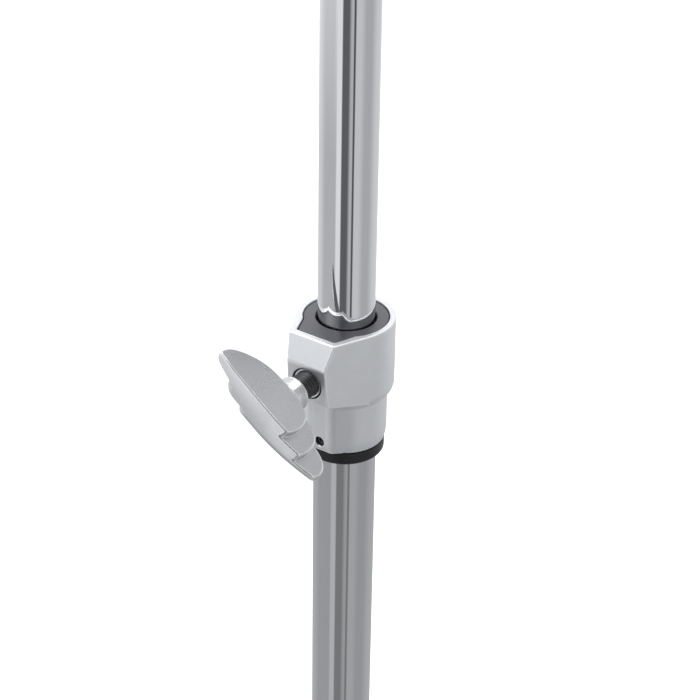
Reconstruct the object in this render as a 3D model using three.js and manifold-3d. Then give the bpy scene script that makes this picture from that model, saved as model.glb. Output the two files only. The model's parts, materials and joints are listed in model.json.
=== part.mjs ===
// A straight cymbal stand: a double-braced folding tripod, three telescoping tubes with two height
// clamps, and a tilter. Millimetres, +Z up, origin at the centre of the underside of the base tube's plug.
import * as THREE from "three";
import { mergeVertices } from "three/addons/utils/BufferGeometryUtils.js";
import Module from "manifold-3d";

const wasm = await Module();
wasm.setup();

// General fits
const RUNNING_GAP = 0.3;
const SEAT_GAP = 0.1;
const GLIDE_GAP = 0.15;
const OVERRUN = 2;
const WELD = 1e-4;
const ROUND_SIDES = 36;
const SMALL_SIDES = 18;
const PIN_SIDES = 12;
const HEXAGON_SIDES = 6;
const CURVE_STEPS = 4;

// Tubes, outside radii and levels
const BASE_TUBE_RADIUS = 14.3;
const MIDDLE_TUBE_RADIUS = 12.7;
const TOP_TUBE_RADIUS = 9.55;
const TUBE_WALL = 1.2;
const LOWER_CLAMP_RIM_Z = 520;
const UPPER_CLAMP_RIM_Z = 820;
const MIDDLE_TUBE_FOOT_Z = 320;
const TOP_TUBE_FOOT_Z = 600;
const TOP_TUBE_HEAD_Z = 1010;
const PLUG_FLANGE_HEIGHT = 4;
const PLUG_STEM_HEIGHT = 14;
const GLIDE_FLANGE_HEIGHT = 10;
const GLIDE_STEM_HEIGHT = 14;

// Folding tripod: a leg hangs from the leg collar, a stay as long as the leg's upper stretch holds it out
const LEG_AZIMUTHS = [90, 210, 330].map(THREE.MathUtils.degToRad);
const PIVOT_RADIUS = 27;
const STAY_LENGTH = 170;
const LEG_LENGTH = 390;
const OPEN_ANGLE = THREE.MathUtils.degToRad(56);
const LOWER_PIVOT_Z = 18;
const STRAP_WIDTH = 14;
const STRAP_THICKNESS = 1.8;
const STAY_INSIDE = 5.4;
const LEG_INSIDE = 8;
const PIN_RADIUS = 3;
const PIN_HEAD_RADIUS = 5;
const PIN_HEAD_HEIGHT = 1.5;
const FOOT_DROP = 12;
const FOOT_PAD_RADIUS = 15;
const FOOT_PAD_CHAMFER = 2;
const FOOT_WALL = 3;
const FOOT_GRIP = 30;

// Collars of the tripod
const STAY_COLLAR_RADIUS = 20;
const STAY_COLLAR_BELOW = 12;
const STAY_COLLAR_ABOVE = 14;
const LEG_COLLAR_RADIUS = 21;
const LEG_COLLAR_BELOW = 12;
const LEG_COLLAR_ABOVE = 28;
const LEG_COLLAR_BUSH_WALL = 1.4;
const LEG_COLLAR_FLANGE = 2;
const TONGUE_ROUND = 8;
const COLLAR_BOSS_HALF = 8;
const COLLAR_BOSS_REACH = 29;
const COLLAR_SCREW_RISE = 16;

// Height clamp: a cast shell on the carrying tube, round with a flat-fronted boss for the wing bolt
const CLAMP_WALL = 7.6;
const CLAMP_LOWER_WALL = 4.6;
const CLAMP_SHELL = 2.7;
const CLAMP_RIM_RISE = 0.6;
const CLAMP_UPPER_HEIGHT = 31.3;
const CLAMP_DOME_HEIGHT = 5.6;
const CLAMP_HEIGHT = 60.8;
const CLAMP_DOME_STEPS = 4;
const BOSS_RIM_HALF = 11.8;
const BOSS_RIM_REACH = 11.8;
const BOSS_BREAK_DROP = 11.3;
const BOSS_HALF = 9.9;
const BOSS_REACH = 16.2;
const BOSS_FOOT_REACH = 14.4;
const BOSS_FOOT_DROP = 30;
const BOSS_FOOT_SLOPE = 4.3;
const PAD_HALF = 6;
const PAD_REACH = 5.6;
const SCREW_DROP = 20.4;
const BUSHING_DEPTH = 29;
const BUSHING_LIP = 0.4;
const BUSHING_THROAT = 0.75;
const BUSHING_THROAT_DEPTH = 2;
const BUSHING_FRONT_HALF = 10.1;
const BUSHING_FRONT_REACH = 8.9;
const SOCKET_SHELF = 8;
const END_RING_WALL = 3.7;
const END_RING_HEIGHT = 6.2;
const END_RING_ROUND = 1.4;
const PIN_RISE = 5.3;
const CLAMP_PIN_RADIUS = 2.1;
const CLAMP_PIN_SUNK = 0.8;

// Clamp screw with its shoe
const STUD_RADIUS = 5.9;
const INSERT_WALL = 1;
const INSERT_SUNK = 1.2;
const SHOE_HALF = 6;
const SHOE_HALF_HEIGHT = 7;
const SHOE_THICKNESS = 6.2;
const SHOE_WRAP = 1.6;
const STUD_SHOWS = 8.4;
const STUD_IN_HUB = 6;

// Wing: three stepped tiers of one rounded blade, on a hub
const WING_TILT = THREE.MathUtils.degToRad(36.5);
const TIER_LENGTH = 46;
const TIER_DEPTH = 17.1;
const TIER_THICKNESS = 5.4;
const TIER_STEP = 10.5;
const TIER_BEVEL = 0.9;
const WING_SHIFT = 1.3;
const WING_CROWN = 2;
const HUB_RADIUS = 8;
const HUB_NECK_RADIUS = 7;
const HUB_LENGTH = 6.4;
const HUB_SUNK = 6;
const SMALL_WING_SHARE = 0.72;
const SMALL_STUD_RADIUS = 4;
// Outlines of a tier's ends as shares of half its length and of its depth: low, tall and middling
const LOW_END_SHARES = [
  [0.16, 0.92],
  [0.42, 0.77],
  [0.68, 0.54],
  [0.9, 0.33],
  [0.98, 0.22],
  [1, 0.09],
  [0.94, 0.02],
];
const TALL_END_SHARES = [
  [0.1, 0.98],
  [0.37, 1],
  [0.65, 0.965],
  [0.83, 0.87],
  [0.93, 0.73],
  [1, 0.48],
  [1, 0.22],
  [0.97, 0.07],
  [0.92, 0],
];
const MIDDLE_END_SHARES = [
  [0.1, 0.9],
  [0.4, 0.87],
  [0.62, 0.84],
  [0.83, 0.74],
  [0.95, 0.58],
  [1, 0.4],
  [0.95, 0.2],
  [0.82, 0.07],
  [0.6, 0],
];

// Tilter with the cymbal seat
const TILTER_SOCKET_WALL = 3.6;
const TILTER_SOCKET_DEPTH = 26;
const TILTER_PIVOT_RISE = 21;
const TILTER_DISC_RADIUS = 15;
const TILTER_DISC_THICKNESS = 9;
const TILTER_NECK_HALF = 7;
const TILTER_STUB_RADIUS = 8;
const TILTER_STUB_FOOT = 17;
const TILTER_STUB_HEAD = 42;
const ROD_RADIUS = 4;
const ROD_SHOULDER_RADIUS = 5.2;
const ROD_SUNK = 20;
const ROD_SHOULDER_RISE = 64;
const ROD_LENGTH = 116;
const NUT_ACROSS = 13;
const NUT_HEIGHT = 6.5;
const WASHER_RADIUS = 19;
const WASHER_THICKNESS = 1.5;
const WASHER_RIM = 2.5;
const SLEEVE_WALL = 2;
const SLEEVE_FLANGE_RADIUS = 9.5;
const SLEEVE_FLANGE = 1.5;
const FELT_RADIUS = 16;
const FELT_THICKNESS = 10;
const FELT_ROUND = 2;
const CYMBAL_ROOM = 2.4;
const WING_NUT_RADIUS = 8.5;
const WING_NUT_TOP_RADIUS = 6.5;
const WING_NUT_HEIGHT = 12;
const WING_NUT_SPAN = 19;
const WING_NUT_RISE = 9;
const WING_NUT_LEAF = 3;

// Worked-out sizes
const base_bore = BASE_TUBE_RADIUS - TUBE_WALL;
const middle_bore = MIDDLE_TUBE_RADIUS - TUBE_WALL;
const top_bore = TOP_TUBE_RADIUS - TUBE_WALL;
const upper_pivot_z = LOWER_PIVOT_Z + 2 * STAY_LENGTH * Math.cos(OPEN_ANGLE);
const shelf_drop = BUSHING_DEPTH + SOCKET_SHELF;
const pin_drop = CLAMP_HEIGHT - PIN_RISE;

// Finishes
const chrome = finish(0xd8dade, 0.08, 1);
const cast_metal = finish(0xb9bcc2, 0.35, 1);
const satin_silver = finish(0xb4b6ba, 0.38, 1);
const zinc_steel = finish(0x9fa2a6, 0.35, 1);
const black_steel = finish(0x111112, 0.45, 0.8);
const dark_plastic = finish(0x24272e, 0.5, 0);
const black_plastic = finish(0x0b0b0c, 0.45, 0);
const black_rubber = finish(0x151515, 0.8, 0);
const grey_felt = finish(0x3a3a3c, 0.95, 0);

function finish(color, roughness, metalness) {
  return new THREE.MeshStandardMaterial({ color, roughness, metalness });
}

// Joining and cutting closed geometries

function toSolid(geometry) {
  const bare = geometry.clone();
  bare.deleteAttribute("normal");
  bare.deleteAttribute("uv");
  const merged = mergeVertices(bare, WELD);
  const corners = merged.index.array;
  const kept = [];
  for (let i = 0; i < corners.length; i += 3) {
    const [a, b, c] = corners.slice(i, i + 3);
    if (a !== b && b !== c && c !== a) kept.push(a, b, c);
  }
  const vertProperties = merged.attributes.position.array;
  return new wasm.Manifold(
    new wasm.Mesh({
      numProp: 3,
      vertProperties,
      triVerts: new Uint32Array(kept),
    }),
  );
}

function toGeometry(solid) {
  const { vertProperties, triVerts } = solid.getMesh();
  return new THREE.BufferGeometry()
    .setAttribute("position", new THREE.BufferAttribute(vertProperties, 3))
    .setIndex(new THREE.BufferAttribute(triVerts, 1));
}

function join(...geometries) {
  const solids = geometries.map(toSolid);
  return toGeometry(solids.reduce((sum, solid) => sum.add(solid)));
}

function cut(geometry, ...tools) {
  const solids = tools.map(toSolid);
  return toGeometry(
    solids.reduce((rest, tool) => rest.subtract(tool), toSolid(geometry)),
  );
}

// Basic closed shapes, all standing along Z

function turned(profile, sides = ROUND_SIDES) {
  const points = profile.map(([r, z]) => new THREE.Vector2(r, z));
  const onAxis = points[0].x === 0 && points.at(-1).x === 0;
  if (!onAxis) points.push(points[0].clone());
  return new THREE.LatheGeometry(points, sides).rotateX(Math.PI / 2);
}

function rod(radius, low, high, sides = ROUND_SIDES) {
  return turned(
    [
      [0, low],
      [radius, low],
      [radius, high],
      [0, high],
    ],
    sides,
  );
}

function pipe(outer, inner, low, high, sides = ROUND_SIDES) {
  return turned(
    [
      [inner, low],
      [outer, low],
      [outer, high],
      [inner, high],
    ],
    sides,
  );
}

function block(low, high) {
  const size = high.map((value, i) => value - low[i]);
  const centre = high.map((value, i) => (value + low[i]) / 2);
  return new THREE.BoxGeometry(...size).translate(...centre);
}

// A plate of the given outline in XY, its thickness centred on Z
function plate(shape, thickness, bevel = 0) {
  return new THREE.ExtrudeGeometry(shape, {
    depth: thickness - 2 * bevel,
    curveSegments: CURVE_STEPS,
    bevelEnabled: bevel > 0,
    bevelThickness: bevel,
    bevelSize: bevel,
    bevelOffset: -bevel,
    bevelSegments: 1,
  }).translate(0, 0, bevel - thickness / 2);
}

// A closed solid through rings of equally many points, given from the bottom up
function loft(rings) {
  const count = rings[0].length;
  const middle = rings.flatMap((ring, k) => (k % (rings.length - 1) ? [] : [centreOf(ring)]));
  const points = [...rings.flat(), ...middle];
  const low = rings.length * count;
  const triangles = [];
  for (let i = 0; i < count; i++) {
    const next = (i + 1) % count;
    triangles.push(low, next, i);
    const top = (rings.length - 1) * count;
    triangles.push(low + 1, top + i, top + next);
    for (let k = 0; k + 1 < rings.length; k++) {
      const under = k * count;
      const over = under + count;
      triangles.push(under + i, under + next, over + next);
      triangles.push(under + i, over + next, over + i);
    }
  }
  return new THREE.BufferGeometry()
    .setAttribute("position", new THREE.Float32BufferAttribute(points.flat(), 3))
    .setIndex(triangles);
}

function centreOf(ring) {
  const sum = ring.reduce((a, b) => a.map((value, i) => value + b[i]));
  return sum.map((value) => value / ring.length);
}

// Lays a shape that stands along Z down, so that it points to the front, -Y
function towardsFront(geometry) {
  return geometry.rotateX(Math.PI / 2);
}

function piece(name, geometry, material) {
  const flat = geometry.index ? geometry.toNonIndexed() : geometry.clone();
  flat.computeVertexNormals();
  const mesh = new THREE.Mesh(flat, material);
  mesh.name = name;
  return mesh;
}

// Tubes

function tubePiece(name, radius, low, high) {
  return piece(name, pipe(radius, radius - TUBE_WALL, low, high), chrome);
}

function plugPiece() {
  const stem = base_bore - RUNNING_GAP;
  const profile = [
    [0, 0],
    [BASE_TUBE_RADIUS, 0],
    [BASE_TUBE_RADIUS, PLUG_FLANGE_HEIGHT],
    [stem, PLUG_FLANGE_HEIGHT],
    [stem, PLUG_FLANGE_HEIGHT + PLUG_STEM_HEIGHT],
    [0, PLUG_FLANGE_HEIGHT + PLUG_STEM_HEIGHT],
  ];
  return piece("base_tube_plug", turned(profile), black_rubber);
}

// A plastic glide under a sliding tube: its flange runs in the outer tube, its stem carries the inner one
function glidePiece(name, outerBore, innerBore, tubeFoot) {
  const flange = outerBore - GLIDE_GAP;
  const stem = innerBore - RUNNING_GAP;
  const shoulder = tubeFoot - SEAT_GAP;
  const profile = [
    [0, shoulder - GLIDE_FLANGE_HEIGHT],
    [flange, shoulder - GLIDE_FLANGE_HEIGHT],
    [flange, shoulder],
    [stem, shoulder],
    [stem, shoulder + GLIDE_STEM_HEIGHT],
    [0, shoulder + GLIDE_STEM_HEIGHT],
  ];
  return piece(name, turned(profile), black_plastic);
}

// Tripod

const strap_faces = {
  stay: STAY_INSIDE + STRAP_THICKNESS / 2,
  leg: LEG_INSIDE + STRAP_THICKNESS / 2,
};

// A flat strap with round ends: its first pivot at the origin, running along X, its thickness along Z
function strapShape(length, halfWidth, holes) {
  const shape = new THREE.Shape();
  shape.absarc(0, 0, halfWidth, Math.PI / 2, -Math.PI / 2, false);
  shape.absarc(length, 0, halfWidth, -Math.PI / 2, Math.PI / 2, false);
  shape.holes = holes.map((x) => {
    const hole = new THREE.Path();
    hole.absarc(x, 0, PIN_RADIUS + RUNNING_GAP, 0, 2 * Math.PI, true);
    return hole;
  });
  return shape;
}

// Turns a strap's X along a slanting direction in the leg's own XZ plane, and its thickness across the leg
function lieAlong(mesh, slant, x, side, z) {
  const along = new THREE.Vector3(Math.sin(slant), 0, -Math.cos(slant));
  const across = new THREE.Vector3(0, 1, 0);
  const normal = new THREE.Vector3().crossVectors(across, along);
  mesh.setRotationFromMatrix(new THREE.Matrix4().makeBasis(along, normal, across));
  mesh.position.set(x, side, z);
  return mesh;
}

function pinPiece(name, halfGrip, x, z) {
  const grip = halfGrip + RUNNING_GAP;
  const profile = [
    [0, -grip - PIN_HEAD_HEIGHT],
    [PIN_HEAD_RADIUS, -grip - PIN_HEAD_HEIGHT],
    [PIN_HEAD_RADIUS, -grip],
    [PIN_RADIUS, -grip],
    [PIN_RADIUS, grip],
    [PIN_HEAD_RADIUS, grip],
    [PIN_HEAD_RADIUS, grip + PIN_HEAD_HEIGHT],
    [0, grip + PIN_HEAD_HEIGHT],
  ];
  const mesh = piece(name, turned(profile, PIN_SIDES), zinc_steel);
  mesh.rotation.x = Math.PI / 2;
  mesh.position.set(x, 0, z);
  return mesh;
}

// The rubber foot, in the leg's own frame: a grip round both straps and a flat round pad
function footPiece(name, toeX, toeZ) {
  const half = STRAP_WIDTH / 2;
  const gripHalfHeight = half + FOOT_WALL;
  const gripHalfWidth = LEG_INSIDE + STRAP_THICKNESS + FOOT_WALL;
  const placed = (geometry, side) => {
    const mesh = lieAlong(new THREE.Mesh(geometry), OPEN_ANGLE, toeX, side, toeZ);
    mesh.updateMatrix();
    return mesh.geometry.applyMatrix4(mesh.matrix);
  };
  const grip = placed(
    block(
      [-FOOT_GRIP, -gripHalfHeight, -gripHalfWidth],
      [half + FOOT_WALL, gripHalfHeight, gripHalfWidth],
    ),
    0,
  );
  const floor = toeZ - FOOT_DROP;
  const pad = turned([
    [0, floor],
    [FOOT_PAD_RADIUS - FOOT_PAD_CHAMFER, floor],
    [FOOT_PAD_RADIUS, floor + FOOT_PAD_CHAMFER],
    [FOOT_PAD_RADIUS, toeZ],
    [0, toeZ],
  ]).translate(toeX, 0, 0);
  const under = block(
    [toeX - FOOT_GRIP - FOOT_PAD_RADIUS, -FOOT_PAD_RADIUS - OVERRUN, floor - FOOT_PAD_RADIUS],
    [toeX + FOOT_GRIP + FOOT_PAD_RADIUS, FOOT_PAD_RADIUS + OVERRUN, floor],
  );
  const slots = [-1, 1].map((side) =>
    placed(
      block(
        [-FOOT_GRIP - OVERRUN, -half - RUNNING_GAP, -STRAP_THICKNESS / 2 - RUNNING_GAP],
        [half + RUNNING_GAP, half + RUNNING_GAP, STRAP_THICKNESS / 2 + RUNNING_GAP],
      ),
      side * strap_faces.leg,
    ),
  );
  return piece(name, cut(join(grip, pad), under, ...slots), black_rubber);
}

// One leg of the tripod in its own frame, +X pointing outwards
function legGroup(number, azimuth) {
  const leg = new THREE.Group();
  leg.rotation.z = azimuth;
  const half = STRAP_WIDTH / 2;
  const legShape = strapShape(LEG_LENGTH, half, [0, STAY_LENGTH]);
  const stayShape = strapShape(STAY_LENGTH, half, [0, STAY_LENGTH]);
  const sides = { left: 1, right: -1 };
  for (const [side, sign] of Object.entries(sides)) {
    const strap = piece(`leg_${number}_${side}_strap`, plate(legShape, STRAP_THICKNESS), chrome);
    const stay = piece(`stay_${number}_${side}_strap`, plate(stayShape, STRAP_THICKNESS), chrome);
    lieAlong(strap, OPEN_ANGLE, PIVOT_RADIUS, sign * strap_faces.leg, upper_pivot_z);
    lieAlong(stay, Math.PI - OPEN_ANGLE, PIVOT_RADIUS, sign * strap_faces.stay, LOWER_PIVOT_Z);
    leg.add(strap, stay);
  }
  const reach = Math.sin(OPEN_ANGLE);
  const drop = Math.cos(OPEN_ANGLE);
  leg.add(
    pinPiece(`leg_${number}_top_pin`, LEG_INSIDE + STRAP_THICKNESS, PIVOT_RADIUS, upper_pivot_z),
    pinPiece(
      `leg_${number}_middle_pin`,
      LEG_INSIDE + STRAP_THICKNESS,
      PIVOT_RADIUS + STAY_LENGTH * reach,
      upper_pivot_z - STAY_LENGTH * drop,
    ),
    pinPiece(`stay_${number}_foot_pin`, STAY_INSIDE + STRAP_THICKNESS, PIVOT_RADIUS, LOWER_PIVOT_Z),
    footPiece(
      `foot_${number}`,
      PIVOT_RADIUS + LEG_LENGTH * reach,
      upper_pivot_z - LEG_LENGTH * drop,
    ),
  );
  return leg;
}

// A tongue of a collar: a plate in the leg's plane with a round end at the pivot, bored for the pin
function tongue(azimuth, halfThickness, pivotZ) {
  const shape = new THREE.Shape();
  shape.moveTo(BASE_TUBE_RADIUS + OVERRUN, -TONGUE_ROUND);
  shape.absarc(PIVOT_RADIUS, 0, TONGUE_ROUND, -Math.PI / 2, Math.PI / 2, false);
  shape.lineTo(BASE_TUBE_RADIUS + OVERRUN, TONGUE_ROUND);
  const hole = new THREE.Path();
  hole.absarc(PIVOT_RADIUS, 0, PIN_RADIUS + RUNNING_GAP, 0, 2 * Math.PI, true);
  shape.holes = [hole];
  return plate(shape, 2 * halfThickness)
    .rotateX(Math.PI / 2)
    .rotateZ(azimuth)
    .translate(0, 0, pivotZ);
}

function stayCollarPiece() {
  const half = STAY_INSIDE - RUNNING_GAP;
  const low = LOWER_PIVOT_Z - STAY_COLLAR_BELOW;
  const high = LOWER_PIVOT_Z + STAY_COLLAR_ABOVE;
  const body = join(
    rod(STAY_COLLAR_RADIUS, low, high),
    ...LEG_AZIMUTHS.map((azimuth) => tongue(azimuth, half, LOWER_PIVOT_Z)),
  );
  const bore = rod(BASE_TUBE_RADIUS + RUNNING_GAP, low - OVERRUN, high + OVERRUN);
  return piece("stay_collar", cut(body, bore), cast_metal);
}

const leg_collar_low = upper_pivot_z - LEG_COLLAR_BELOW;
const leg_collar_high = upper_pivot_z + LEG_COLLAR_ABOVE;
const leg_collar_screw_z = upper_pivot_z + COLLAR_SCREW_RISE;
const leg_collar_bore = BASE_TUBE_RADIUS + LEG_COLLAR_BUSH_WALL + 2 * RUNNING_GAP;

function legCollarPiece() {
  const half = LEG_INSIDE - RUNNING_GAP;
  const boss = block(
    [-COLLAR_BOSS_HALF, -COLLAR_BOSS_REACH, leg_collar_screw_z - COLLAR_BOSS_HALF],
    [COLLAR_BOSS_HALF, 0, leg_collar_screw_z + COLLAR_BOSS_HALF],
  );
  const body = join(
    rod(LEG_COLLAR_RADIUS, leg_collar_low, leg_collar_high),
    boss,
    ...LEG_AZIMUTHS.map((azimuth) => tongue(azimuth, half, upper_pivot_z)),
  );
  const bore = rod(leg_collar_bore, leg_collar_low - OVERRUN, leg_collar_high + OVERRUN);
  const screwHole = frontHole(SMALL_STUD_RADIUS + RUNNING_GAP, 0, COLLAR_BOSS_REACH + OVERRUN);
  screwHole.translate(0, 0, leg_collar_screw_z);
  return piece("leg_collar", cut(body, bore, screwHole), cast_metal);
}

// A round hole along -Y between two distances from the column's axis
function frontHole(radius, near, far) {
  return towardsFront(rod(radius, near, far, SMALL_SIDES));
}

function legCollarBushPiece() {
  const inner = BASE_TUBE_RADIUS + RUNNING_GAP;
  const outer = inner + LEG_COLLAR_BUSH_WALL;
  const rim = leg_collar_high + SEAT_GAP;
  const sleeve = turned([
    [inner, leg_collar_low],
    [outer, leg_collar_low],
    [outer, rim],
    [LEG_COLLAR_RADIUS, rim],
    [LEG_COLLAR_RADIUS, rim + LEG_COLLAR_FLANGE],
    [inner, rim + LEG_COLLAR_FLANGE],
  ]);
  const window = frontHole(SMALL_STUD_RADIUS + RUNNING_GAP, 0, outer + OVERRUN);
  window.translate(0, 0, leg_collar_screw_z);
  return piece("leg_collar_bushing", cut(sleeve, window), black_plastic);
}

// Wing of a wing bolt: X along the wing, Z towards the clamp, Y across the tiers.
// The hub's end face is at Z = 0.

function tierShape(leftShares, rightShares) {
  const half = TIER_LENGTH / 2;
  const left = leftShares.map(([p, q]) => [-p, q]).reverse();
  const points = [...left, ...rightShares].map(([p, q]) => new THREE.Vector2(p * half, q * TIER_DEPTH));
  return new THREE.Shape(points.reverse());
}

function wingGeometry(share) {
  const pitch = TIER_THICKNESS - TIER_BEVEL;
  const ends = [
    [LOW_END_SHARES, TALL_END_SHARES, 0],
    [TALL_END_SHARES, TALL_END_SHARES, WING_CROWN],
    [TALL_END_SHARES, MIDDLE_END_SHARES, 0],
  ];
  const tiers = ends.map(([left, right, crown], i) =>
    plate(tierShape(left, right), TIER_THICKNESS, TIER_BEVEL)
      .rotateX(Math.PI / 2)
      .translate(WING_SHIFT + (i - 1) * TIER_STEP, (i - 1) * pitch, -HUB_LENGTH - TIER_DEPTH - crown),
  );
  const hub = turned(
    [
      [0, -HUB_LENGTH - HUB_SUNK],
      [HUB_NECK_RADIUS, -HUB_LENGTH - HUB_SUNK],
      [HUB_NECK_RADIUS, -HUB_LENGTH],
      [HUB_RADIUS, 0],
      [0, 0],
    ],
    SMALL_SIDES,
  );
  return join(...tiers, hub).scale(share, share, share);
}

// Turns a wing to face the clamp and tilts it about the screw's axis
function faceClamp(geometry) {
  return geometry.rotateX(-Math.PI / 2).rotateY(WING_TILT);
}

// A wing with its stud in one piece, its tip and hub at distances in front of the axis that it clamps
function wingBoltPiece(name, share, tip, hubFace) {
  const wing = faceClamp(wingGeometry(share)).translate(0, -hubFace, 0);
  const stud = frontHole(SMALL_STUD_RADIUS, tip, hubFace + STUD_IN_HUB);
  return piece(name, join(wing, stud), satin_silver);
}

// Height clamp, in its own frame: the rim at Z = 0, the tube axis on Z, the boss to the front

// Where the line from a point touches a circle round the axis, on the side away from the front
function touchPoint(x, y, radius) {
  const reach = Math.hypot(x, y);
  const turn = Math.acos(radius / reach);
  const angle = Math.atan2(y, x) + turn;
  return [radius * Math.cos(angle), radius * Math.sin(angle)];
}

// Plan of a round body drawn out to a flat front: front corners, tangent points, points in the round
function frontPlan(radius, half, reach, frontZ, touchZ) {
  const [touchX, touchY] = touchPoint(half, -reach, radius);
  return [
    [-half, -reach, frontZ],
    [half, -reach, frontZ],
    [touchX, touchY, touchZ],
    [0, 0, touchZ],
    [-touchX, touchY, touchZ],
  ];
}

function prism(plan, low, high) {
  return loft([low, high].map((z) => plan.map(([x, y]) => [x, y, z])));
}

function clampBody(name, tubeRadius, rodRadius) {
  const radius = tubeRadius + CLAMP_WALL;
  const lowerRadius = tubeRadius + CLAMP_LOWER_WALL;
  const dome = Array.from({ length: CLAMP_DOME_STEPS + 1 }, (_, i) => {
    const angle = (i / CLAMP_DOME_STEPS) * (Math.PI / 2);
    return [
      lowerRadius + (radius - lowerRadius) * Math.cos(angle),
      -CLAMP_UPPER_HEIGHT - CLAMP_DOME_HEIGHT * Math.sin(angle),
    ];
  });
  const round = turned([
    [0, -CLAMP_HEIGHT],
    [lowerRadius, -CLAMP_HEIGHT],
    ...dome.reverse(),
    [radius, CLAMP_RIM_RISE],
    [0, CLAMP_RIM_RISE],
  ]);
  const boss = loft([
    frontPlan(
      radius,
      BOSS_HALF,
      tubeRadius + BOSS_FOOT_REACH,
      -BOSS_FOOT_DROP,
      -BOSS_FOOT_DROP - BOSS_FOOT_SLOPE,
    ),
    frontPlan(radius, BOSS_HALF, tubeRadius + BOSS_REACH, -BOSS_BREAK_DROP, -BOSS_BREAK_DROP),
    frontPlan(
      radius,
      BOSS_RIM_HALF,
      tubeRadius + BOSS_RIM_REACH,
      CLAMP_RIM_RISE,
      CLAMP_RIM_RISE,
    ),
  ]);
  const pad = prism(
    frontPlan(lowerRadius, PAD_HALF, tubeRadius + PAD_REACH),
    -CLAMP_HEIGHT,
    -CLAMP_UPPER_HEIGHT,
  );
  const hollowRadius = radius - CLAMP_SHELL;
  const hollow = join(
    rod(hollowRadius, -BUSHING_DEPTH, OVERRUN),
    prism(
      frontPlan(hollowRadius, BUSHING_FRONT_HALF, tubeRadius + BUSHING_FRONT_REACH),
      -BUSHING_DEPTH,
      OVERRUN,
    ),
  );
  const screwRadius = STUD_RADIUS + RUNNING_GAP + INSERT_WALL + RUNNING_GAP;
  const screwHole = frontHole(screwRadius, tubeRadius, tubeRadius + BOSS_REACH + OVERRUN);
  const pinHole = frontHole(CLAMP_PIN_RADIUS + RUNNING_GAP, 0, tubeRadius + PAD_REACH + OVERRUN);
  const body = cut(
    join(round, boss, pad),
    hollow,
    rod(rodRadius + RUNNING_GAP, -CLAMP_HEIGHT - OVERRUN, OVERRUN),
    rod(tubeRadius + RUNNING_GAP, -CLAMP_HEIGHT - OVERRUN, -shelf_drop),
    screwHole.translate(0, 0, -SCREW_DROP),
    pinHole.translate(0, 0, -pin_drop),
  );
  return piece(name, body, cast_metal);
}

function clampBushing(name, tubeRadius, rodRadius) {
  const radius = tubeRadius + CLAMP_WALL - CLAMP_SHELL - RUNNING_GAP;
  const reach = tubeRadius + BUSHING_FRONT_REACH - RUNNING_GAP;
  const low = -BUSHING_DEPTH + RUNNING_GAP;
  const outline = join(
    rod(radius, low, -BUSHING_LIP),
    prism(frontPlan(radius, BUSHING_FRONT_HALF - RUNNING_GAP, reach), low, -BUSHING_LIP),
  );
  const half = SHOE_HALF + RUNNING_GAP;
  const halfHeight = SHOE_HALF_HEIGHT + RUNNING_GAP;
  const channel = block(
    [-half, -reach - OVERRUN, -SCREW_DROP - halfHeight],
    [half, 0, -SCREW_DROP + halfHeight],
  );
  const throat = rodRadius + BUSHING_THROAT;
  return piece(
    name,
    cut(
      outline,
      rod(rodRadius + RUNNING_GAP, low - OVERRUN, OVERRUN),
      rod(throat, -BUSHING_LIP - BUSHING_THROAT_DEPTH, OVERRUN),
      channel,
    ),
    dark_plastic,
  );
}

function clampEndRing(name, tubeRadius) {
  const outer = tubeRadius + END_RING_WALL;
  const inner = tubeRadius + RUNNING_GAP;
  const top = -CLAMP_HEIGHT - SEAT_GAP;
  const bottom = top - END_RING_HEIGHT;
  const soft = END_RING_ROUND * (1 - Math.SQRT1_2);
  const ring = turned([
    [inner, bottom],
    [outer - END_RING_ROUND, bottom],
    [outer - soft, bottom + soft],
    [outer, bottom + END_RING_ROUND],
    [outer, top],
    [inner, top],
  ]);
  return piece(name, ring, black_plastic);
}

function clampInsert(name, tubeRadius) {
  const lean = (BOSS_REACH - BOSS_FOOT_REACH) / (BOSS_FOOT_DROP - BOSS_BREAK_DROP);
  const face = tubeRadius + BOSS_REACH - lean * (SCREW_DROP - BOSS_BREAK_DROP);
  const back = tubeRadius + BUSHING_FRONT_REACH + RUNNING_GAP;
  const inner = STUD_RADIUS + RUNNING_GAP;
  const ring = pipe(inner + INSERT_WALL, inner, back, face - INSERT_SUNK, SMALL_SIDES);
  return piece(name, towardsFront(ring).translate(0, 0, -SCREW_DROP), zinc_steel);
}

function clampShoe(name, rodRadius) {
  const face = rodRadius + RUNNING_GAP;
  const jaw = block(
    [-SHOE_HALF, -face - SHOE_THICKNESS, -SCREW_DROP - SHOE_HALF_HEIGHT],
    [SHOE_HALF, -face + SHOE_WRAP, -SCREW_DROP + SHOE_HALF_HEIGHT],
  );
  const low = -SCREW_DROP - SHOE_HALF_HEIGHT - OVERRUN;
  const high = -SCREW_DROP + SHOE_HALF_HEIGHT + OVERRUN;
  return piece(name, cut(jaw, rod(face, low, high)), black_plastic);
}

function clampPin(name, tubeRadius) {
  const head = tubeRadius + PAD_REACH - CLAMP_PIN_SUNK;
  const shank = frontHole(CLAMP_PIN_RADIUS, tubeRadius - TUBE_WALL, head);
  return piece(name, shank.translate(0, 0, -pin_drop), black_steel);
}

// The hole that the clamp's pin needs in the wall of the carrying tube
function pinnedTube(name, radius, low, high, rimZ) {
  const hole = frontHole(CLAMP_PIN_RADIUS + RUNNING_GAP, 0, radius + OVERRUN);
  hole.translate(0, 0, rimZ - pin_drop);
  return piece(name, cut(pipe(radius, radius - TUBE_WALL, low, high), hole), chrome);
}

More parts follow.
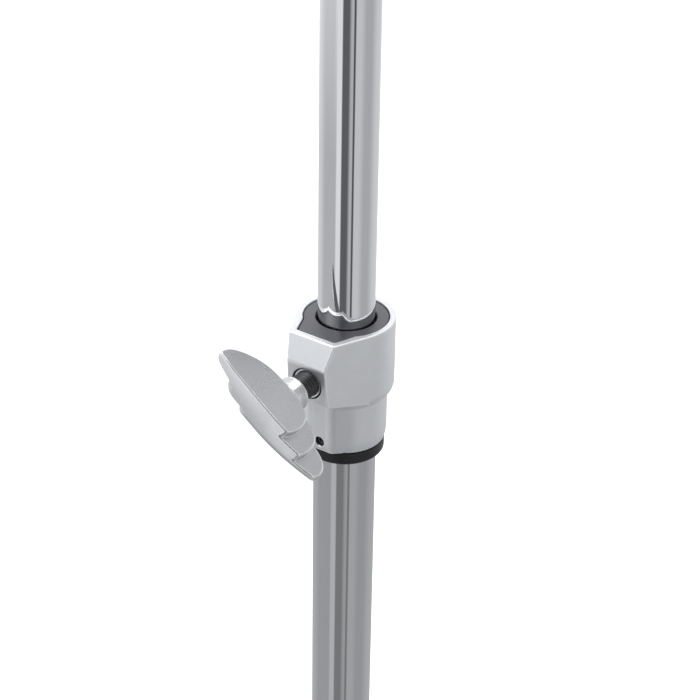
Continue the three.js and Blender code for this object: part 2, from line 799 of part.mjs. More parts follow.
function clampGroup(side, tubeRadius, rodRadius, rimZ) {
  const clamp = new THREE.Group();
  clamp.position.z = rimZ;
  const shoeBack = rodRadius + RUNNING_GAP + SHOE_THICKNESS;
  const hubFace = tubeRadius + BOSS_REACH + STUD_SHOWS;
  const stud = frontHole(STUD_RADIUS, shoeBack + SEAT_GAP, hubFace + STUD_IN_HUB);
  const socketEnd = hubFace + STUD_IN_HUB + RUNNING_GAP;
  const socket = frontHole(STUD_RADIUS + RUNNING_GAP, hubFace - OVERRUN, socketEnd);
  const wing = cut(faceClamp(wingGeometry(1)).translate(0, -hubFace, 0), socket);
  clamp.add(
    clampBody(`${side}_clamp_body`, tubeRadius, rodRadius),
    clampBushing(`${side}_clamp_bushing`, tubeRadius, rodRadius),
    clampEndRing(`${side}_clamp_end_ring`, tubeRadius),
    clampInsert(`${side}_clamp_thread_insert`, tubeRadius),
    clampShoe(`${side}_clamp_shoe`, rodRadius),
    clampPin(`${side}_clamp_pin`, tubeRadius),
    piece(`${side}_clamp_stud`, stud.translate(0, 0, -SCREW_DROP), black_steel),
    piece(`${side}_clamp_wing`, wing.translate(0, 0, -SCREW_DROP), satin_silver),
  );
  return clamp;
}

// Tilter, in its own frame: the head of the top tube at Z = 0

function tilterBase() {
  const outer = TOP_TUBE_RADIUS + TILTER_SOCKET_WALL;
  const socket = rod(outer, -TILTER_SOCKET_DEPTH, TILTER_SOCKET_WALL);
  const disc = towardsFront(
    rod(TILTER_DISC_RADIUS, -TILTER_DISC_THICKNESS, -RUNNING_GAP),
  ).translate(0, 0, TILTER_PIVOT_RISE);
  const neck = block(
    [-TILTER_NECK_HALF, RUNNING_GAP, 0],
    [TILTER_NECK_HALF, TILTER_DISC_THICKNESS, TILTER_PIVOT_RISE],
  );
  const bore = rod(TOP_TUBE_RADIUS + RUNNING_GAP, -TILTER_SOCKET_DEPTH - OVERRUN, SEAT_GAP);
  const hole = frontHole(
    SMALL_STUD_RADIUS + RUNNING_GAP,
    -TILTER_DISC_THICKNESS - OVERRUN,
    OVERRUN,
  ).translate(0, 0, TILTER_PIVOT_RISE);
  return piece("tilter_base", cut(join(socket, disc, neck), bore, hole), cast_metal);
}

function tilterHead() {
  const disc = towardsFront(
    rod(TILTER_DISC_RADIUS, RUNNING_GAP, TILTER_DISC_THICKNESS),
  ).translate(0, 0, TILTER_PIVOT_RISE);
  const neck = block(
    [-TILTER_NECK_HALF, -TILTER_DISC_THICKNESS, TILTER_PIVOT_RISE],
    [TILTER_NECK_HALF, -RUNNING_GAP, TILTER_PIVOT_RISE + TILTER_STUB_FOOT + OVERRUN],
  );
  const stub = rod(
    TILTER_STUB_RADIUS,
    TILTER_PIVOT_RISE + TILTER_STUB_FOOT,
    TILTER_PIVOT_RISE + TILTER_STUB_HEAD,
  );
  const bore = rod(
    ROD_SHOULDER_RADIUS + RUNNING_GAP,
    TILTER_PIVOT_RISE + ROD_SUNK,
    TILTER_PIVOT_RISE + TILTER_STUB_HEAD + OVERRUN,
    SMALL_SIDES,
  );
  const hole = frontHole(
    SMALL_STUD_RADIUS + RUNNING_GAP,
    -OVERRUN,
    TILTER_DISC_THICKNESS + OVERRUN,
  ).translate(0, 0, TILTER_PIVOT_RISE);
  return piece("tilter_head", cut(join(disc, neck, stub), bore, hole), cast_metal);
}

function tilterNut() {
  const radius = NUT_ACROSS / Math.sqrt(3);
  const low = TILTER_DISC_THICKNESS + SEAT_GAP;
  const nut = cut(
    rod(radius, -low - NUT_HEIGHT, -low, HEXAGON_SIDES),
    rod(SMALL_STUD_RADIUS + RUNNING_GAP, -low - NUT_HEIGHT - OVERRUN, -low + OVERRUN, SMALL_SIDES),
  );
  return piece("tilter_nut", towardsFront(nut).translate(0, 0, TILTER_PIVOT_RISE), zinc_steel);
}

function felt(name, low) {
  const inner = ROD_RADIUS + RUNNING_GAP + SLEEVE_WALL + RUNNING_GAP;
  const high = low + FELT_THICKNESS;
  const ring = turned([
    [inner, low],
    [FELT_RADIUS - FELT_ROUND, low],
    [FELT_RADIUS, low + FELT_ROUND],
    [FELT_RADIUS, high - FELT_ROUND],
    [FELT_RADIUS - FELT_ROUND, high],
    [inner, high],
  ]);
  return piece(name, ring, grey_felt);
}

function wingNut(low) {
  const hub = turned(
    [
      [0, low],
      [WING_NUT_RADIUS, low],
      [WING_NUT_TOP_RADIUS, low + WING_NUT_HEIGHT],
      [0, low + WING_NUT_HEIGHT],
    ],
    SMALL_SIDES,
  );
  const leaf = new THREE.Shape();
  leaf.moveTo(ROD_RADIUS + RUNNING_GAP, 0);
  leaf.lineTo(WING_NUT_TOP_RADIUS, 0);
  leaf.quadraticCurveTo(WING_NUT_SPAN, 0, WING_NUT_SPAN, WING_NUT_RISE);
  leaf.quadraticCurveTo(
    WING_NUT_SPAN,
    WING_NUT_HEIGHT + WING_NUT_RISE / 2,
    WING_NUT_RADIUS,
    WING_NUT_HEIGHT,
  );
  leaf.lineTo(ROD_RADIUS + RUNNING_GAP, WING_NUT_HEIGHT / 2);
  const leaves = [0, Math.PI].map((turn) =>
    plate(leaf, WING_NUT_LEAF)
      .rotateX(Math.PI / 2)
      .rotateZ(turn)
      .translate(0, 0, low),
  );
  const bore = rod(
    ROD_RADIUS + RUNNING_GAP,
    low - OVERRUN,
    low + 2 * WING_NUT_HEIGHT,
    SMALL_SIDES,
  );
  return piece("wing_nut", cut(join(hub, ...leaves), bore), black_plastic);
}

function tilterGroup() {
  const tilter = new THREE.Group();
  tilter.position.z = TOP_TUBE_HEAD_Z;
  const rodFoot = TILTER_PIVOT_RISE + ROD_SUNK + SEAT_GAP;
  const shoulder = TILTER_PIVOT_RISE + ROD_SHOULDER_RISE;
  const cymbalRod = turned(
    [
      [0, rodFoot],
      [ROD_SHOULDER_RADIUS, rodFoot],
      [ROD_SHOULDER_RADIUS, shoulder],
      [ROD_RADIUS, shoulder],
      [ROD_RADIUS, rodFoot + ROD_LENGTH],
      [0, rodFoot + ROD_LENGTH],
    ],
    SMALL_SIDES,
  );
  const bore = ROD_RADIUS + RUNNING_GAP;
  const seat = shoulder + SEAT_GAP;
  const washer = turned([
    [bore, seat],
    [WASHER_RADIUS - WASHER_RIM, seat],
    [WASHER_RADIUS, seat + WASHER_RIM],
    [WASHER_RADIUS - WASHER_THICKNESS, seat + WASHER_RIM + WASHER_THICKNESS],
    [WASHER_RADIUS - WASHER_RIM - WASHER_THICKNESS / 2, seat + WASHER_THICKNESS],
    [bore, seat + WASHER_THICKNESS],
  ]);
  const sleeveFoot = seat + WASHER_THICKNESS + SEAT_GAP;
  const feltFoot = sleeveFoot + SLEEVE_FLANGE + SEAT_GAP;
  const upperFeltFoot = feltFoot + FELT_THICKNESS + CYMBAL_ROOM;
  const sleeveHead = upperFeltFoot + FELT_THICKNESS + SEAT_GAP;
  const sleeve = turned(
    [
      [bore, sleeveFoot],
      [SLEEVE_FLANGE_RADIUS, sleeveFoot],
      [SLEEVE_FLANGE_RADIUS, sleeveFoot + SLEEVE_FLANGE],
      [bore + SLEEVE_WALL, sleeveFoot + SLEEVE_FLANGE],
      [bore + SLEEVE_WALL, sleeveHead],
      [bore, sleeveHead],
    ],
    SMALL_SIDES,
  );
  const nutFoot = sleeveHead + SEAT_GAP;
  const hubFace = TILTER_DISC_THICKNESS + RUNNING_GAP;
  const tip = -TILTER_DISC_THICKNESS - SEAT_GAP - NUT_HEIGHT;
  const bolt = wingBoltPiece("tilter_wing_bolt", SMALL_WING_SHARE, tip, hubFace);
  bolt.position.z = TILTER_PIVOT_RISE;
  tilter.add(
    tilterBase(),
    tilterHead(),
    bolt,
    tilterNut(),
    piece("cymbal_rod", cymbalRod, chrome),
    piece("cup_washer", washer, chrome),
    piece("cymbal_sleeve", sleeve, black_plastic),
    felt("lower_felt", feltFoot),
    felt("upper_felt", upperFeltFoot),
    wingNut(nutFoot),
  );
  return tilter;
}

// The whole stand

const stand = new THREE.Group();
const legCollarBolt = wingBoltPiece(
  "leg_collar_wing_bolt",
  1,
  BASE_TUBE_RADIUS + RUNNING_GAP,
  COLLAR_BOSS_REACH + STUD_SHOWS,
);
legCollarBolt.position.z = leg_collar_screw_z;
stand.add(
  plugPiece(),
  pinnedTube(
    "base_tube",
    BASE_TUBE_RADIUS,
    PLUG_FLANGE_HEIGHT + SEAT_GAP,
    LOWER_CLAMP_RIM_Z - shelf_drop - SEAT_GAP,
    LOWER_CLAMP_RIM_Z,
  ),
  stayCollarPiece(),
  legCollarPiece(),
  legCollarBushPiece(),
  legCollarBolt,
  ...LEG_AZIMUTHS.map((azimuth, i) => legGroup(i + 1, azimuth)),
  clampGroup("lower", BASE_TUBE_RADIUS, MIDDLE_TUBE_RADIUS, LOWER_CLAMP_RIM_Z),
  glidePiece("middle_tube_glide", base_bore, middle_bore, MIDDLE_TUBE_FOOT_Z),
  pinnedTube(
    "middle_tube",
    MIDDLE_TUBE_RADIUS,
    MIDDLE_TUBE_FOOT_Z,
    UPPER_CLAMP_RIM_Z - shelf_drop - SEAT_GAP,
    UPPER_CLAMP_RIM_Z,
  ),
  clampGroup("upper", MIDDLE_TUBE_RADIUS, TOP_TUBE_RADIUS, UPPER_CLAMP_RIM_Z),
  glidePiece("top_tube_glide", middle_bore, top_bore, TOP_TUBE_FOOT_Z),
  tubePiece("top_tube", TOP_TUBE_RADIUS, TOP_TUBE_FOOT_Z, TOP_TUBE_HEAD_Z),
  tilterGroup(),
);

export default stand;
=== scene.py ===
# A straight cymbal stand dressed for the camera: fine meshes, finishes, a white studio,
# and the view of its lower clamp.
import json
import math
import bpy
import numpy as np
from mathutils import Matrix, Vector


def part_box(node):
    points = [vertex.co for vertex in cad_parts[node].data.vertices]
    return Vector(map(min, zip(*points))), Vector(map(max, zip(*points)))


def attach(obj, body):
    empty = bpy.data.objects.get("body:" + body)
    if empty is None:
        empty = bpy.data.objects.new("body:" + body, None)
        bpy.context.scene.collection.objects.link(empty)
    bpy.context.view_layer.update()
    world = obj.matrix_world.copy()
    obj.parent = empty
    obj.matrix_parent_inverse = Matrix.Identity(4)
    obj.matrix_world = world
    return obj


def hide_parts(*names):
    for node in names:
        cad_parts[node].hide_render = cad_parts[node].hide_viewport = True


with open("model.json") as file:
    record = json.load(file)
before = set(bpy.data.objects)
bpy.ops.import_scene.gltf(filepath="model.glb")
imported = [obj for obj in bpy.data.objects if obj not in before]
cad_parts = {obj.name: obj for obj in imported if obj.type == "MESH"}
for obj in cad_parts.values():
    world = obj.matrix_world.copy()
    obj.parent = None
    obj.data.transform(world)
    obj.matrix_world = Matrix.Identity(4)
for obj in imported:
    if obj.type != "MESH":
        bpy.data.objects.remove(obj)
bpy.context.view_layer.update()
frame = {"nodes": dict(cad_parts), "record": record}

MM = 0.001
TINY = 1e-6

# Sizes in millimetres. A clamp's heights are counted from just under its rim, downwards for a drop.
BASE_TUBE, MIDDLE_TUBE, TOP_TUBE = 14.3, 12.7, 9.55
TUBE_WALL = 1.2
GAP = 0.3
STUD = 5.9
SMALL_STUD = 4.0
CLAMP_WALL, CLAMP_LOWER_WALL, CLAMP_SHELL, END_RING_WALL = 7.6, 4.6, 2.7, 3.7
CLAMP_HEIGHT, CLAMP_RIM_RISE, DOME_FOOT = 60.8, 0.6, -37.3
BOSS_HALF, BOSS_RIM_REACH, BOSS_REACH, BOSS_FOOT_REACH = 9.9, 11.8, 16.2, 14.4
BOSS_BREAK_DROP, BOSS_FOOT_DROP = 11.3, 30.0
PAD_HALF, PAD_REACH, BUSHING_HALF, BUSHING_REACH = 6.0, 5.6, 10.1, 8.9
SCREW_DROP, PIN_DROP, BUSHING_DEPTH, SHELF_DROP = 20.4, 55.5, 29.0, 37.0
STUD_SHOWS, STUD_IN_HUB = 8.4, 6.0
PIVOT_RADIUS, STAY_LENGTH, LEG_LENGTH = 27.0, 170.0, 390.0
LEG_SLANT = math.radians(56)
LEG_AZIMUTHS = [math.radians(a) for a in (90, 210, 330)]
LEG_INSIDE, STAY_INSIDE, STRAP_THICKNESS, STRAP_WIDTH = 8.0, 5.4, 1.8, 14.0
PIN_RADIUS, PIN_HEAD, PIN_HEAD_HEIGHT = 3.0, 5.0, 1.5
CLAMP_THREAD_PITCH, SMALL_THREAD_PITCH = 1.75, 1.25
CLAMP_PIN_HOLE, CLAMP_PIN, BUSH_WALL = 2.4, 2.1, 1.4

lower_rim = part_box("lower_clamp_body")[1].z / MM - CLAMP_RIM_RISE
upper_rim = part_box("upper_clamp_body")[1].z / MM - CLAMP_RIM_RISE
low_pivot_z = (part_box("stay_1_foot_pin")[0].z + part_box("stay_1_foot_pin")[1].z) / 2 / MM
high_pivot_z = (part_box("leg_1_top_pin")[0].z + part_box("leg_1_top_pin")[1].z) / 2 / MM


# Fields: a shape is a function of x, y and z that is below 0 inside it, and about the distance elsewhere


def both(a, b, r):
    """What lies in a and in b, with the edge rounded to r."""
    return np.minimum(np.maximum(a, b), -r) + np.hypot(np.maximum(a + r, 0), np.maximum(b + r, 0))


def either(a, b, r):
    """What lies in a or in b, with a fillet of r between them."""
    return -both(-a, -b, r)


def without(a, b, r):
    """What lies in a and not in b, with the edge rounded to r."""
    return both(a, -b, r)


def slab(v, low, high):
    """What lies between low and high."""
    return np.maximum(low - v, v - high)


def outline(points, u, v):
    """Signed distance in a plane to a closed outline of points."""
    best = np.full(np.broadcast(u, v).shape, np.inf)
    within = np.zeros(best.shape, bool)
    for (ax, ay), (bx, by) in zip(points, np.roll(points, -1, 0)):
        dx, dy = bx - ax, by - ay
        along = np.clip(((u - ax) * dx + (v - ay) * dy) / (dx * dx + dy * dy), 0, 1)
        best = np.minimum(best, np.hypot(u - ax - along * dx, v - ay - along * dy))
        if dy:
            crosses = ((ay > v) != (by > v)) & (u < dx * (v - ay) / dy + ax)
            within ^= crosses
    return np.where(within, -best, best)


def softened(points, rounds=2):
    """Cuts the corners of a closed outline, each time into quarters of its sides."""
    points = np.asarray(points, float)
    for _ in range(rounds):
        after = np.roll(points, -1, 0)
        points = np.stack([0.75 * points + 0.25 * after, 0.25 * points + 0.75 * after], 1).reshape(-1, 2)
    return points


# The second number is the width in millimetres over which painted shade fades out.
SKIN_STEPS, PAINTED_SHADE_FADE = 6, 0.4


def skin(shape, low, high, cell, painted_shade=None):
    """(points, faces, normals, marks) of a field's surface, one point to each cell that it crosses."""
    axes = [np.arange(a - 1.5 * cell, b + 2.5 * cell, cell) for a, b in zip(low, high)]
    grid = np.meshgrid(*axes, indexing="ij", sparse=True)
    size = tuple(len(a) for a in axes)
    inside = np.broadcast_to(shape(*grid), size) < 0
    ends = (slice(0, -1), slice(1, None))
    count = sum(inside[i, j, k].astype(np.int8) for i in ends for j in ends for k in ends)
    crossed = (count > 0) & (count < 8)
    cells = np.argwhere(crossed)
    number = np.full(crossed.shape, -1)
    number[crossed] = np.arange(len(cells))
    points = np.array([a[0] for a in axes]) + (cells + 0.5) * cell
    for _ in range(SKIN_STEPS):
        value, slope = shape(*points.T), gradient(shape, points, 0.02)
        step = (value / np.maximum((slope**2).sum(1), 0.2))[:, None] * slope
        length = np.maximum(np.linalg.norm(step, axis=1, keepdims=True), 1e-9)
        points = points - step * np.minimum(1, 0.6 * cell / length)
    faces = []
    for a in range(3):
        order = (a, (a + 1) % 3, (a + 2) % 3)
        filled, named = inside.transpose(order), number.transpose(order)
        start, end = filled[:-1, 1:-1, 1:-1], filled[1:, 1:-1, 1:-1]
        i, j, k = np.nonzero(start != end)
        quads = np.stack([named[i, j, k], named[i, j + 1, k], named[i, j + 1, k + 1], named[i, j, k + 1]], 1)
        turned_over = ~start[i, j, k]
        quads[turned_over] = quads[turned_over, ::-1]
        faces.append(quads)
    slope = gradient(shape, points, 0.05)
    normals = slope / np.maximum(np.linalg.norm(slope, axis=1, keepdims=True), 1e-9)
    marks = {"edge": edge_of(shape, points)}
    # A mark of painted shade where that last field is below 0, fading out across its edge.
    if painted_shade is not None:
        marks["painted_shade"] = np.clip(0.5 - painted_shade(*points.T) / PAINTED_SHADE_FADE, 0, 1)
    return points, np.concatenate(faces).tolist(), normals, marks


def gradient(shape, points, reach):
    """How a field rises along x, y and z at each point."""
    steps = np.eye(3) * reach
    return np.stack([shape(*(points + s).T) - shape(*(points - s).T) for s in steps], 1) / (2 * reach)


def edge_of(shape, points):
    """How convex the surface is at each point, from 0 where it is flat to 1 on a sharp edge."""
    reach = 0.7
    steps = np.eye(3) * reach
    bent = sum(shape(*(points + s).T) + shape(*(points - s).T) for s in steps) / reach**2
    return np.clip(bent - 0.15, 0, 1)


# Turned, threaded and placed forms


def rounded(corners, default):
    """(radius, height, normal) along a closed outline that runs anticlockwise, its corners rounded."""
    corners = [tuple(c) if len(c) == 3 else (*c, default) for c in corners]
    run = []
    for i, (r, z, fillet) in enumerate(corners):
        here = np.array([r, z])
        before = np.array(corners[i - 1][:2]) - here
        after = np.array(corners[(i + 1) % len(corners)][:2]) - here
        room = min(np.linalg.norm(before), np.linalg.norm(after)) * 0.49
        before, after = before / np.linalg.norm(before), after / np.linalg.norm(after)
        first = math.atan2(before[0], -before[1])
        turn = (math.atan2(-after[0], after[1]) - first + math.pi) % (2 * math.pi) - math.pi
        if r < TINY:
            run.append((r, z, 0.0, 1.0 if z > np.mean([c[1] for c in corners]) else -1.0))
            continue
        half = abs(turn) / 2
        fillet = min(fillet, room / max(math.tan(half), TINY))
        inwards = (before + after) / max(np.linalg.norm(before + after), 1e-9)
        centre = here + inwards * fillet / max(math.cos(half), TINY)
        steps = 5 if fillet > 0.05 else 1
        for k in range(steps + 1):
            angle = first + turn * k / steps
            normal = np.array([math.cos(angle), math.sin(angle)])
            spot = centre + math.copysign(fillet, turn) * normal
            run.append((*spot, *normal))
    return run


def turned(corners, sides=96, fillet=0.3):
    """A closed outline of (radius, height) turned about Z."""
    run = rounded(corners, fillet)
    around = np.arange(sides) * 2 * math.pi / sides
    points, normals, rings = [], [], []
    for r, z, nr, nz in run:
        base = len(points)
        if r < TINY:
            points.append((0, 0, z))
            normals.append((0, 0, nz))
            rings.append([base] * sides)
            continue
        points += [(r * math.cos(a), r * math.sin(a), z) for a in around]
        normals += [(nr * math.cos(a), nr * math.sin(a), nz) for a in around]
        rings.append(list(range(base, base + sides)))
    return np.array(points), bands(rings, closed=True), np.array(normals), None


def bands(rings, closed):
    """The faces between rings of points, and from the last to the first where they are closed."""
    faces = []
    count = len(rings) if closed else len(rings) - 1
    for k in range(count):
        low, high = rings[k], rings[(k + 1) % len(rings)]
        for i in range(len(low)):
            j = (i + 1) % len(low)
            face = list(dict.fromkeys([low[i], low[j], high[j], high[i]]))
            if len(face) > 2:
                faces.append(face)
    return faces


def threaded(radius, pitch, low, high, sides=48, steps=12):
    """A screw thread along Z, its crests at radius and its ends chamfered."""
    depth = 0.55 * pitch
    rows = int((high - low) / pitch * steps)
    points, rings = [(0, 0, low)], [[0] * sides]
    for row in range(rows + 1):
        z = low + (high - low) * row / rows
        ramp = radius - depth + min(z - low, high - z)
        base = len(points)
        for i in range(sides):
            wave = abs(((z / pitch - i / sides) % 1) * 2 - 1)
            crest = radius - depth * min(max(1.25 * wave - 0.12, 0), 1)
            r = min(crest, ramp)
            a = 2 * math.pi * i / sides
            points.append((r * math.cos(a), r * math.sin(a), z))
        rings.append(list(range(base, base + sides)))
    points.append((0, 0, high))
    rings.append([len(points) - 1] * sides)
    return np.array(points), bands(rings, closed=False), None, None


def moved(form, matrix):
    """A form turned, scaled and shifted by a matrix in millimetres."""
    points, faces, normals, marks = form
    turn = np.array(matrix.to_3x3())
    points = points @ turn.T + np.array(matrix.translation)
    if normals is not None:
        normals = normals @ turn.T
        normals = normals / np.linalg.norm(normals, axis=1, keepdims=True)
    if matrix.to_3x3().determinant() < 0:
        faces = [face[::-1] for face in faces]
    return points, faces, normals, marks


def joined(*forms):
    points, faces, normals, edges = [], [], [], []
    for spots, sides, directions, marks in forms:
        base = sum(len(p) for p in points)
        points.append(spots)
        faces += [[i + base for i in face] for face in sides]
        normals.append(directions)
        edges.append(marks["edge"] if marks else np.zeros(len(spots)))
    normals = None if any(n is None for n in normals) else np.concatenate(normals)
    return np.concatenate(points), faces, normals, {"edge": np.concatenate(edges)}


def shift(x, y, z):
    return Matrix.Translation((x, y, z))


FORWARD = Matrix.Rotation(math.pi / 2, 4, "X")


def lay_forward(form, z):
    """Lays a form that stands on Z down towards the front, -Y, at a height."""
    return moved(form, shift(0, 0, z) @ FORWARD)


def placed(name, data):
    """A new object in the scene."""
    thing = bpy.data.objects.new(name, data)
    bpy.context.scene.collection.objects.link(thing)
    return thing


def piece(name, body, slot, form):
    """Adds a form as the piece that stands for the CAD node of its name and rides on a body."""
    points, faces, normals, marks = form
    mesh = bpy.data.meshes.new(name + "_fine")
    mesh.from_pydata((points * MM).tolist(), [], faces)
    mesh.polygons.foreach_set("use_smooth", [True] * len(mesh.polygons))
    for mark, values in (marks or {}).items():
        layer = mesh.attributes.new(mark, "FLOAT", "POINT")
        layer.data.foreach_set("value", np.asarray(values, np.float32))
    if normals is not None:
        mesh.normals_split_custom_set_from_vertices(normals.tolist())
    mesh.materials.append(finishes[slot])
    thing = placed(name + "_fine", mesh)
    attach(thing, body)
    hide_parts(name)
    return thing


def height_span(node):
    """The lowest and highest point of a CAD node in millimetres."""
    low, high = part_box(node)
    return low.z / MM, high.z / MM


# Finishes


def feed(tree, node, values):
    """Links a node's inputs to other nodes' outputs, or sets them to values."""
    for key, value in values.items():
        if isinstance(value, bpy.types.NodeSocket):
            tree.links.new(value, node.inputs[key])
        else:
            node.inputs[key].default_value = value


def add_node(tree, kind, settings=None, inputs=None, **values):
    """A shader node with its settings, its numbered inputs and its named ones."""
    made = tree.nodes.new("ShaderNode" + kind)
    for key, value in (settings or {}).items():
        setattr(made, key, value)
    feed(tree, made, inputs or {})
    feed(tree, made, {key.replace("_", " "): value for key, value in values.items()})
    return made


def noise(tree, where, per_mm, detail=4):
    made = add_node(tree, "TexNoise", Vector=where, Scale=per_mm / MM, Detail=detail, Roughness=0.6)
    return made.outputs["Fac"]


def ranged(tree, value, low, high, to_low, to_high):
    values = {"Value": value, "From Min": low, "From Max": high, "To Min": to_low, "To Max": to_high}
    return add_node(tree, "MapRange", {}, values).outputs["Result"]


def mixed(tree, fac, a, b):
    return add_node(tree, "Mix", {"data_type": "RGBA"}, {0: fac, 6: a, 7: b}).outputs[2]


def shade(colour, factor):
    return (*[min(1, c * factor) for c in colour], 1)


BLOTCH_SIZE = 22  # as many grains wide
# Near-black colour painted as shade in the clamps' screw and pin holes and round the thinner tubes in the
# bushings.
PAINTED_SHADE_COLOUR = (0.006, 0.006, 0.007, 1)


def surface(
    name, colour, metallic, roughness, grain, bump,
    spread=0.06, blotch=0.06, stretch=(1, 1, 1), rough_spread=0.25, edge_gain=0.0, edge_rough=1.0,
    sheen=0.0, specular=0.5,
):
    """A finish that varies with a fine grain and broad blotches, brighter on convex edges as wear and
    painted highlight, and with painted shade where a piece is marked for it. Grain and bump are in
    millimetres.
    """
    made = bpy.data.materials.new(name)
    made.use_nodes = True
    tree = made.node_tree
    where = add_node(tree, "TexCoord").outputs["Object"]
    where = add_node(tree, "Mapping", Vector=where, Scale=stretch).outputs["Vector"]
    fine = noise(tree, where, 1 / grain)
    broad = noise(tree, where, 1 / (grain * BLOTCH_SIZE), detail=3)
    grainy = ranged(tree, fine, 0.3, 0.7, 0, 1)
    tint = mixed(tree, grainy, shade(colour, 1 - spread), shade(colour, 1 + spread))
    tint = mixed(tree, ranged(tree, broad, 0.35, 0.65, 0, blotch), tint, shade(colour, 0.6))
    rough = ranged(tree, broad, 0.3, 0.7, roughness * (1 - rough_spread), roughness * (1 + rough_spread))
    # Convex edges get a brighter colour and less roughness: partly worn edges, partly painted highlight.
    if edge_gain:
        edge = add_node(tree, "Attribute", {"attribute_name": "edge"}).outputs["Fac"]
        patchy = ranged(tree, fine, 0.3, 0.6, 0.6, 1.0)
        wear_and_highlight = add_node(tree, "Math", {"operation": "MULTIPLY"}, {0: edge, 1: patchy}).outputs[0]
        tint = mixed(tree, wear_and_highlight, tint, shade(colour, 1 + edge_gain))
        blend = {0: wear_and_highlight, 2: rough, 3: roughness * edge_rough}
        rough = add_node(tree, "Mix", {"data_type": "FLOAT"}, blend).outputs[0]
    # Painted shade: near-black colour where a piece is marked for it.
    painted_shade = add_node(tree, "Attribute", {"attribute_name": "painted_shade"}).outputs["Fac"]
    tint = mixed(tree, painted_shade, tint, PAINTED_SHADE_COLOUR)
    relief = add_node(tree, "Bump", Height=fine, Strength=1.0, Distance=bump * MM)
    feed(tree, tree.nodes["Principled BSDF"], {
        "Base Color": tint, "Metallic": metallic, "Roughness": rough, "Specular IOR Level": specular,
        "Sheen Weight": sheen, "Normal": relief.outputs["Normal"],
    })
    return made


# edge_gain brightens convex edges: partly wear, partly painted highlight.
finishes = {
    "tube_chrome": surface(
        "bright_chrome", (0.69, 0.695, 0.71), 1, 0.05, 2.5, 0.0006,
        spread=0.015, blotch=0.05, stretch=(1, 1, 0.06), rough_spread=0.5,
    ),
    "cast_metal": surface(
        "satin_cast", (0.78, 0.79, 0.815), 1, 0.5, 0.45, 0.012,
        spread=0.035, rough_spread=0.12, edge_gain=0.35, edge_rough=0.6,
    ),
    "wing_metal": surface(
        "tumbled_cast", (0.7, 0.703, 0.718), 1, 0.28, 0.8, 0.03,
        spread=0.05, blotch=0.1, rough_spread=0.2, edge_gain=0.6, edge_rough=0.6,
    ),
    "zinc_steel": surface("zinc_steel", (0.78, 0.78, 0.79), 1, 0.3, 0.6, 0.006, edge_gain=0.2),
    "steel_black": surface("black_oxide", (0.08, 0.08, 0.085), 0.8, 0.25, 0.5, 0.01, spread=0.2, blotch=0.2),
    "plastic_dark": surface(
        "moulded_dark", (0.05, 0.05, 0.062), 0, 0.4, 0.7, 0.012,
        spread=0.12, blotch=0.25, edge_gain=0.5, specular=1.0,
    ),
    "plastic_black": surface(
        "moulded_black", (0.012, 0.012, 0.014), 0, 0.4, 0.6, 0.01, spread=0.15, blotch=0.2, specular=0.3,
    ),
    "rubber_black": surface(
        "rubber_black", (0.022, 0.022, 0.023), 0, 0.7, 0.5, 0.03, spread=0.2, blotch=0.3, specular=0.35,
    ),
    "felt_grey": surface(
        "pressed_felt", (0.06, 0.06, 0.066), 0, 0.95, 0.35, 0.18,
        spread=0.45, blotch=0.2, sheen=0.5, specular=0.1,
    ),
}

for node in frame["record"]["subparts"]:
    holder = frame["nodes"][node["node"]]
    holder.data.materials.clear()
    holder.data.materials.append(finishes[node["material_slot"]])


# Tubes


for name, body, radius in (
    ("base_tube", "base", BASE_TUBE), ("middle_tube", "middle", MIDDLE_TUBE), ("top_tube", "top", TOP_TUBE),
):
    low, high = height_span(name)
    inner = radius - TUBE_WALL
    form = turned([(radius, low), (radius, high), (inner, high), (inner, low)], 160)
    piece(name, body, "tube_chrome", form)

plug_low, plug_high = height_span("base_tube_plug")
plug_flange = plug_low + 4
plug_stem = BASE_TUBE - TUBE_WALL - GAP
piece("base_tube_plug", "base", "rubber_black", turned([
    (0, plug_low), (BASE_TUBE, plug_low, 1.2), (BASE_TUBE, plug_flange, 0.5),
    (plug_stem, plug_flange), (plug_stem, plug_high, 1), (0, plug_high),
]))


# Height clamps


def wedge(x, y, half, reach, radius):
    """Two planes from the front corners of a boss back to where they touch its round body, as a field."""
    away = math.hypot(half, reach)
    lean = math.atan2(half, reach) + math.acos(radius / away)
    planes = np.abs(x) * math.sin(lean) - y * math.cos(lean) - radius
    return np.maximum(planes, y + radius * math.cos(lean))


def plane_through(y, z, first, second):
    """Distance in front of the plane that leans through two (reach, height) points, the second one lower."""
    dy, dz = second[0] - first[0], second[1] - first[1]
    length = math.hypot(dy, dz)
    return ((-y - first[0]) * -dz + (z - first[1]) * dy) / length


EDGE_ROUND, DOME_ROUND, PAD_ROUND, WELL_NARROWER = 0.45, 6.0, 2.0, 1.5
UNDERSIDE_SLOPE = 0.218
FOOT_DRAW, FOOT_DRAW_HEIGHT, BARREL_TOP = 0.028, 6, -30


def clamp_head(x, y, z, tube):
    """The clamp's wide upper part: a domed round with a boss whose front has two faces."""
    radius = tube + CLAMP_WALL
    rim, brk, foot = tube + BOSS_RIM_REACH, tube + BOSS_REACH, tube + BOSS_FOOT_REACH
    dome = both(np.hypot(x, y) - radius, DOME_FOOT - z, DOME_ROUND)
    sides = wedge(x, y, BOSS_HALF, brk, radius)
    leaning = plane_through(y, z, (rim, CLAMP_RIM_RISE), (brk, -BOSS_BREAK_DROP))
    falling = plane_through(y, z, (brk, -BOSS_BREAK_DROP), (foot, -BOSS_FOOT_DROP))
    front = both(leaning, falling, 0.5)
    under = (-BOSS_FOOT_DROP - UNDERSIDE_SLOPE * (y + foot) - z) / math.hypot(1, UNDERSIDE_SLOPE)
    boss = both(both(sides, front, EDGE_ROUND), under, 0.6)
    return np.minimum(dome, boss)


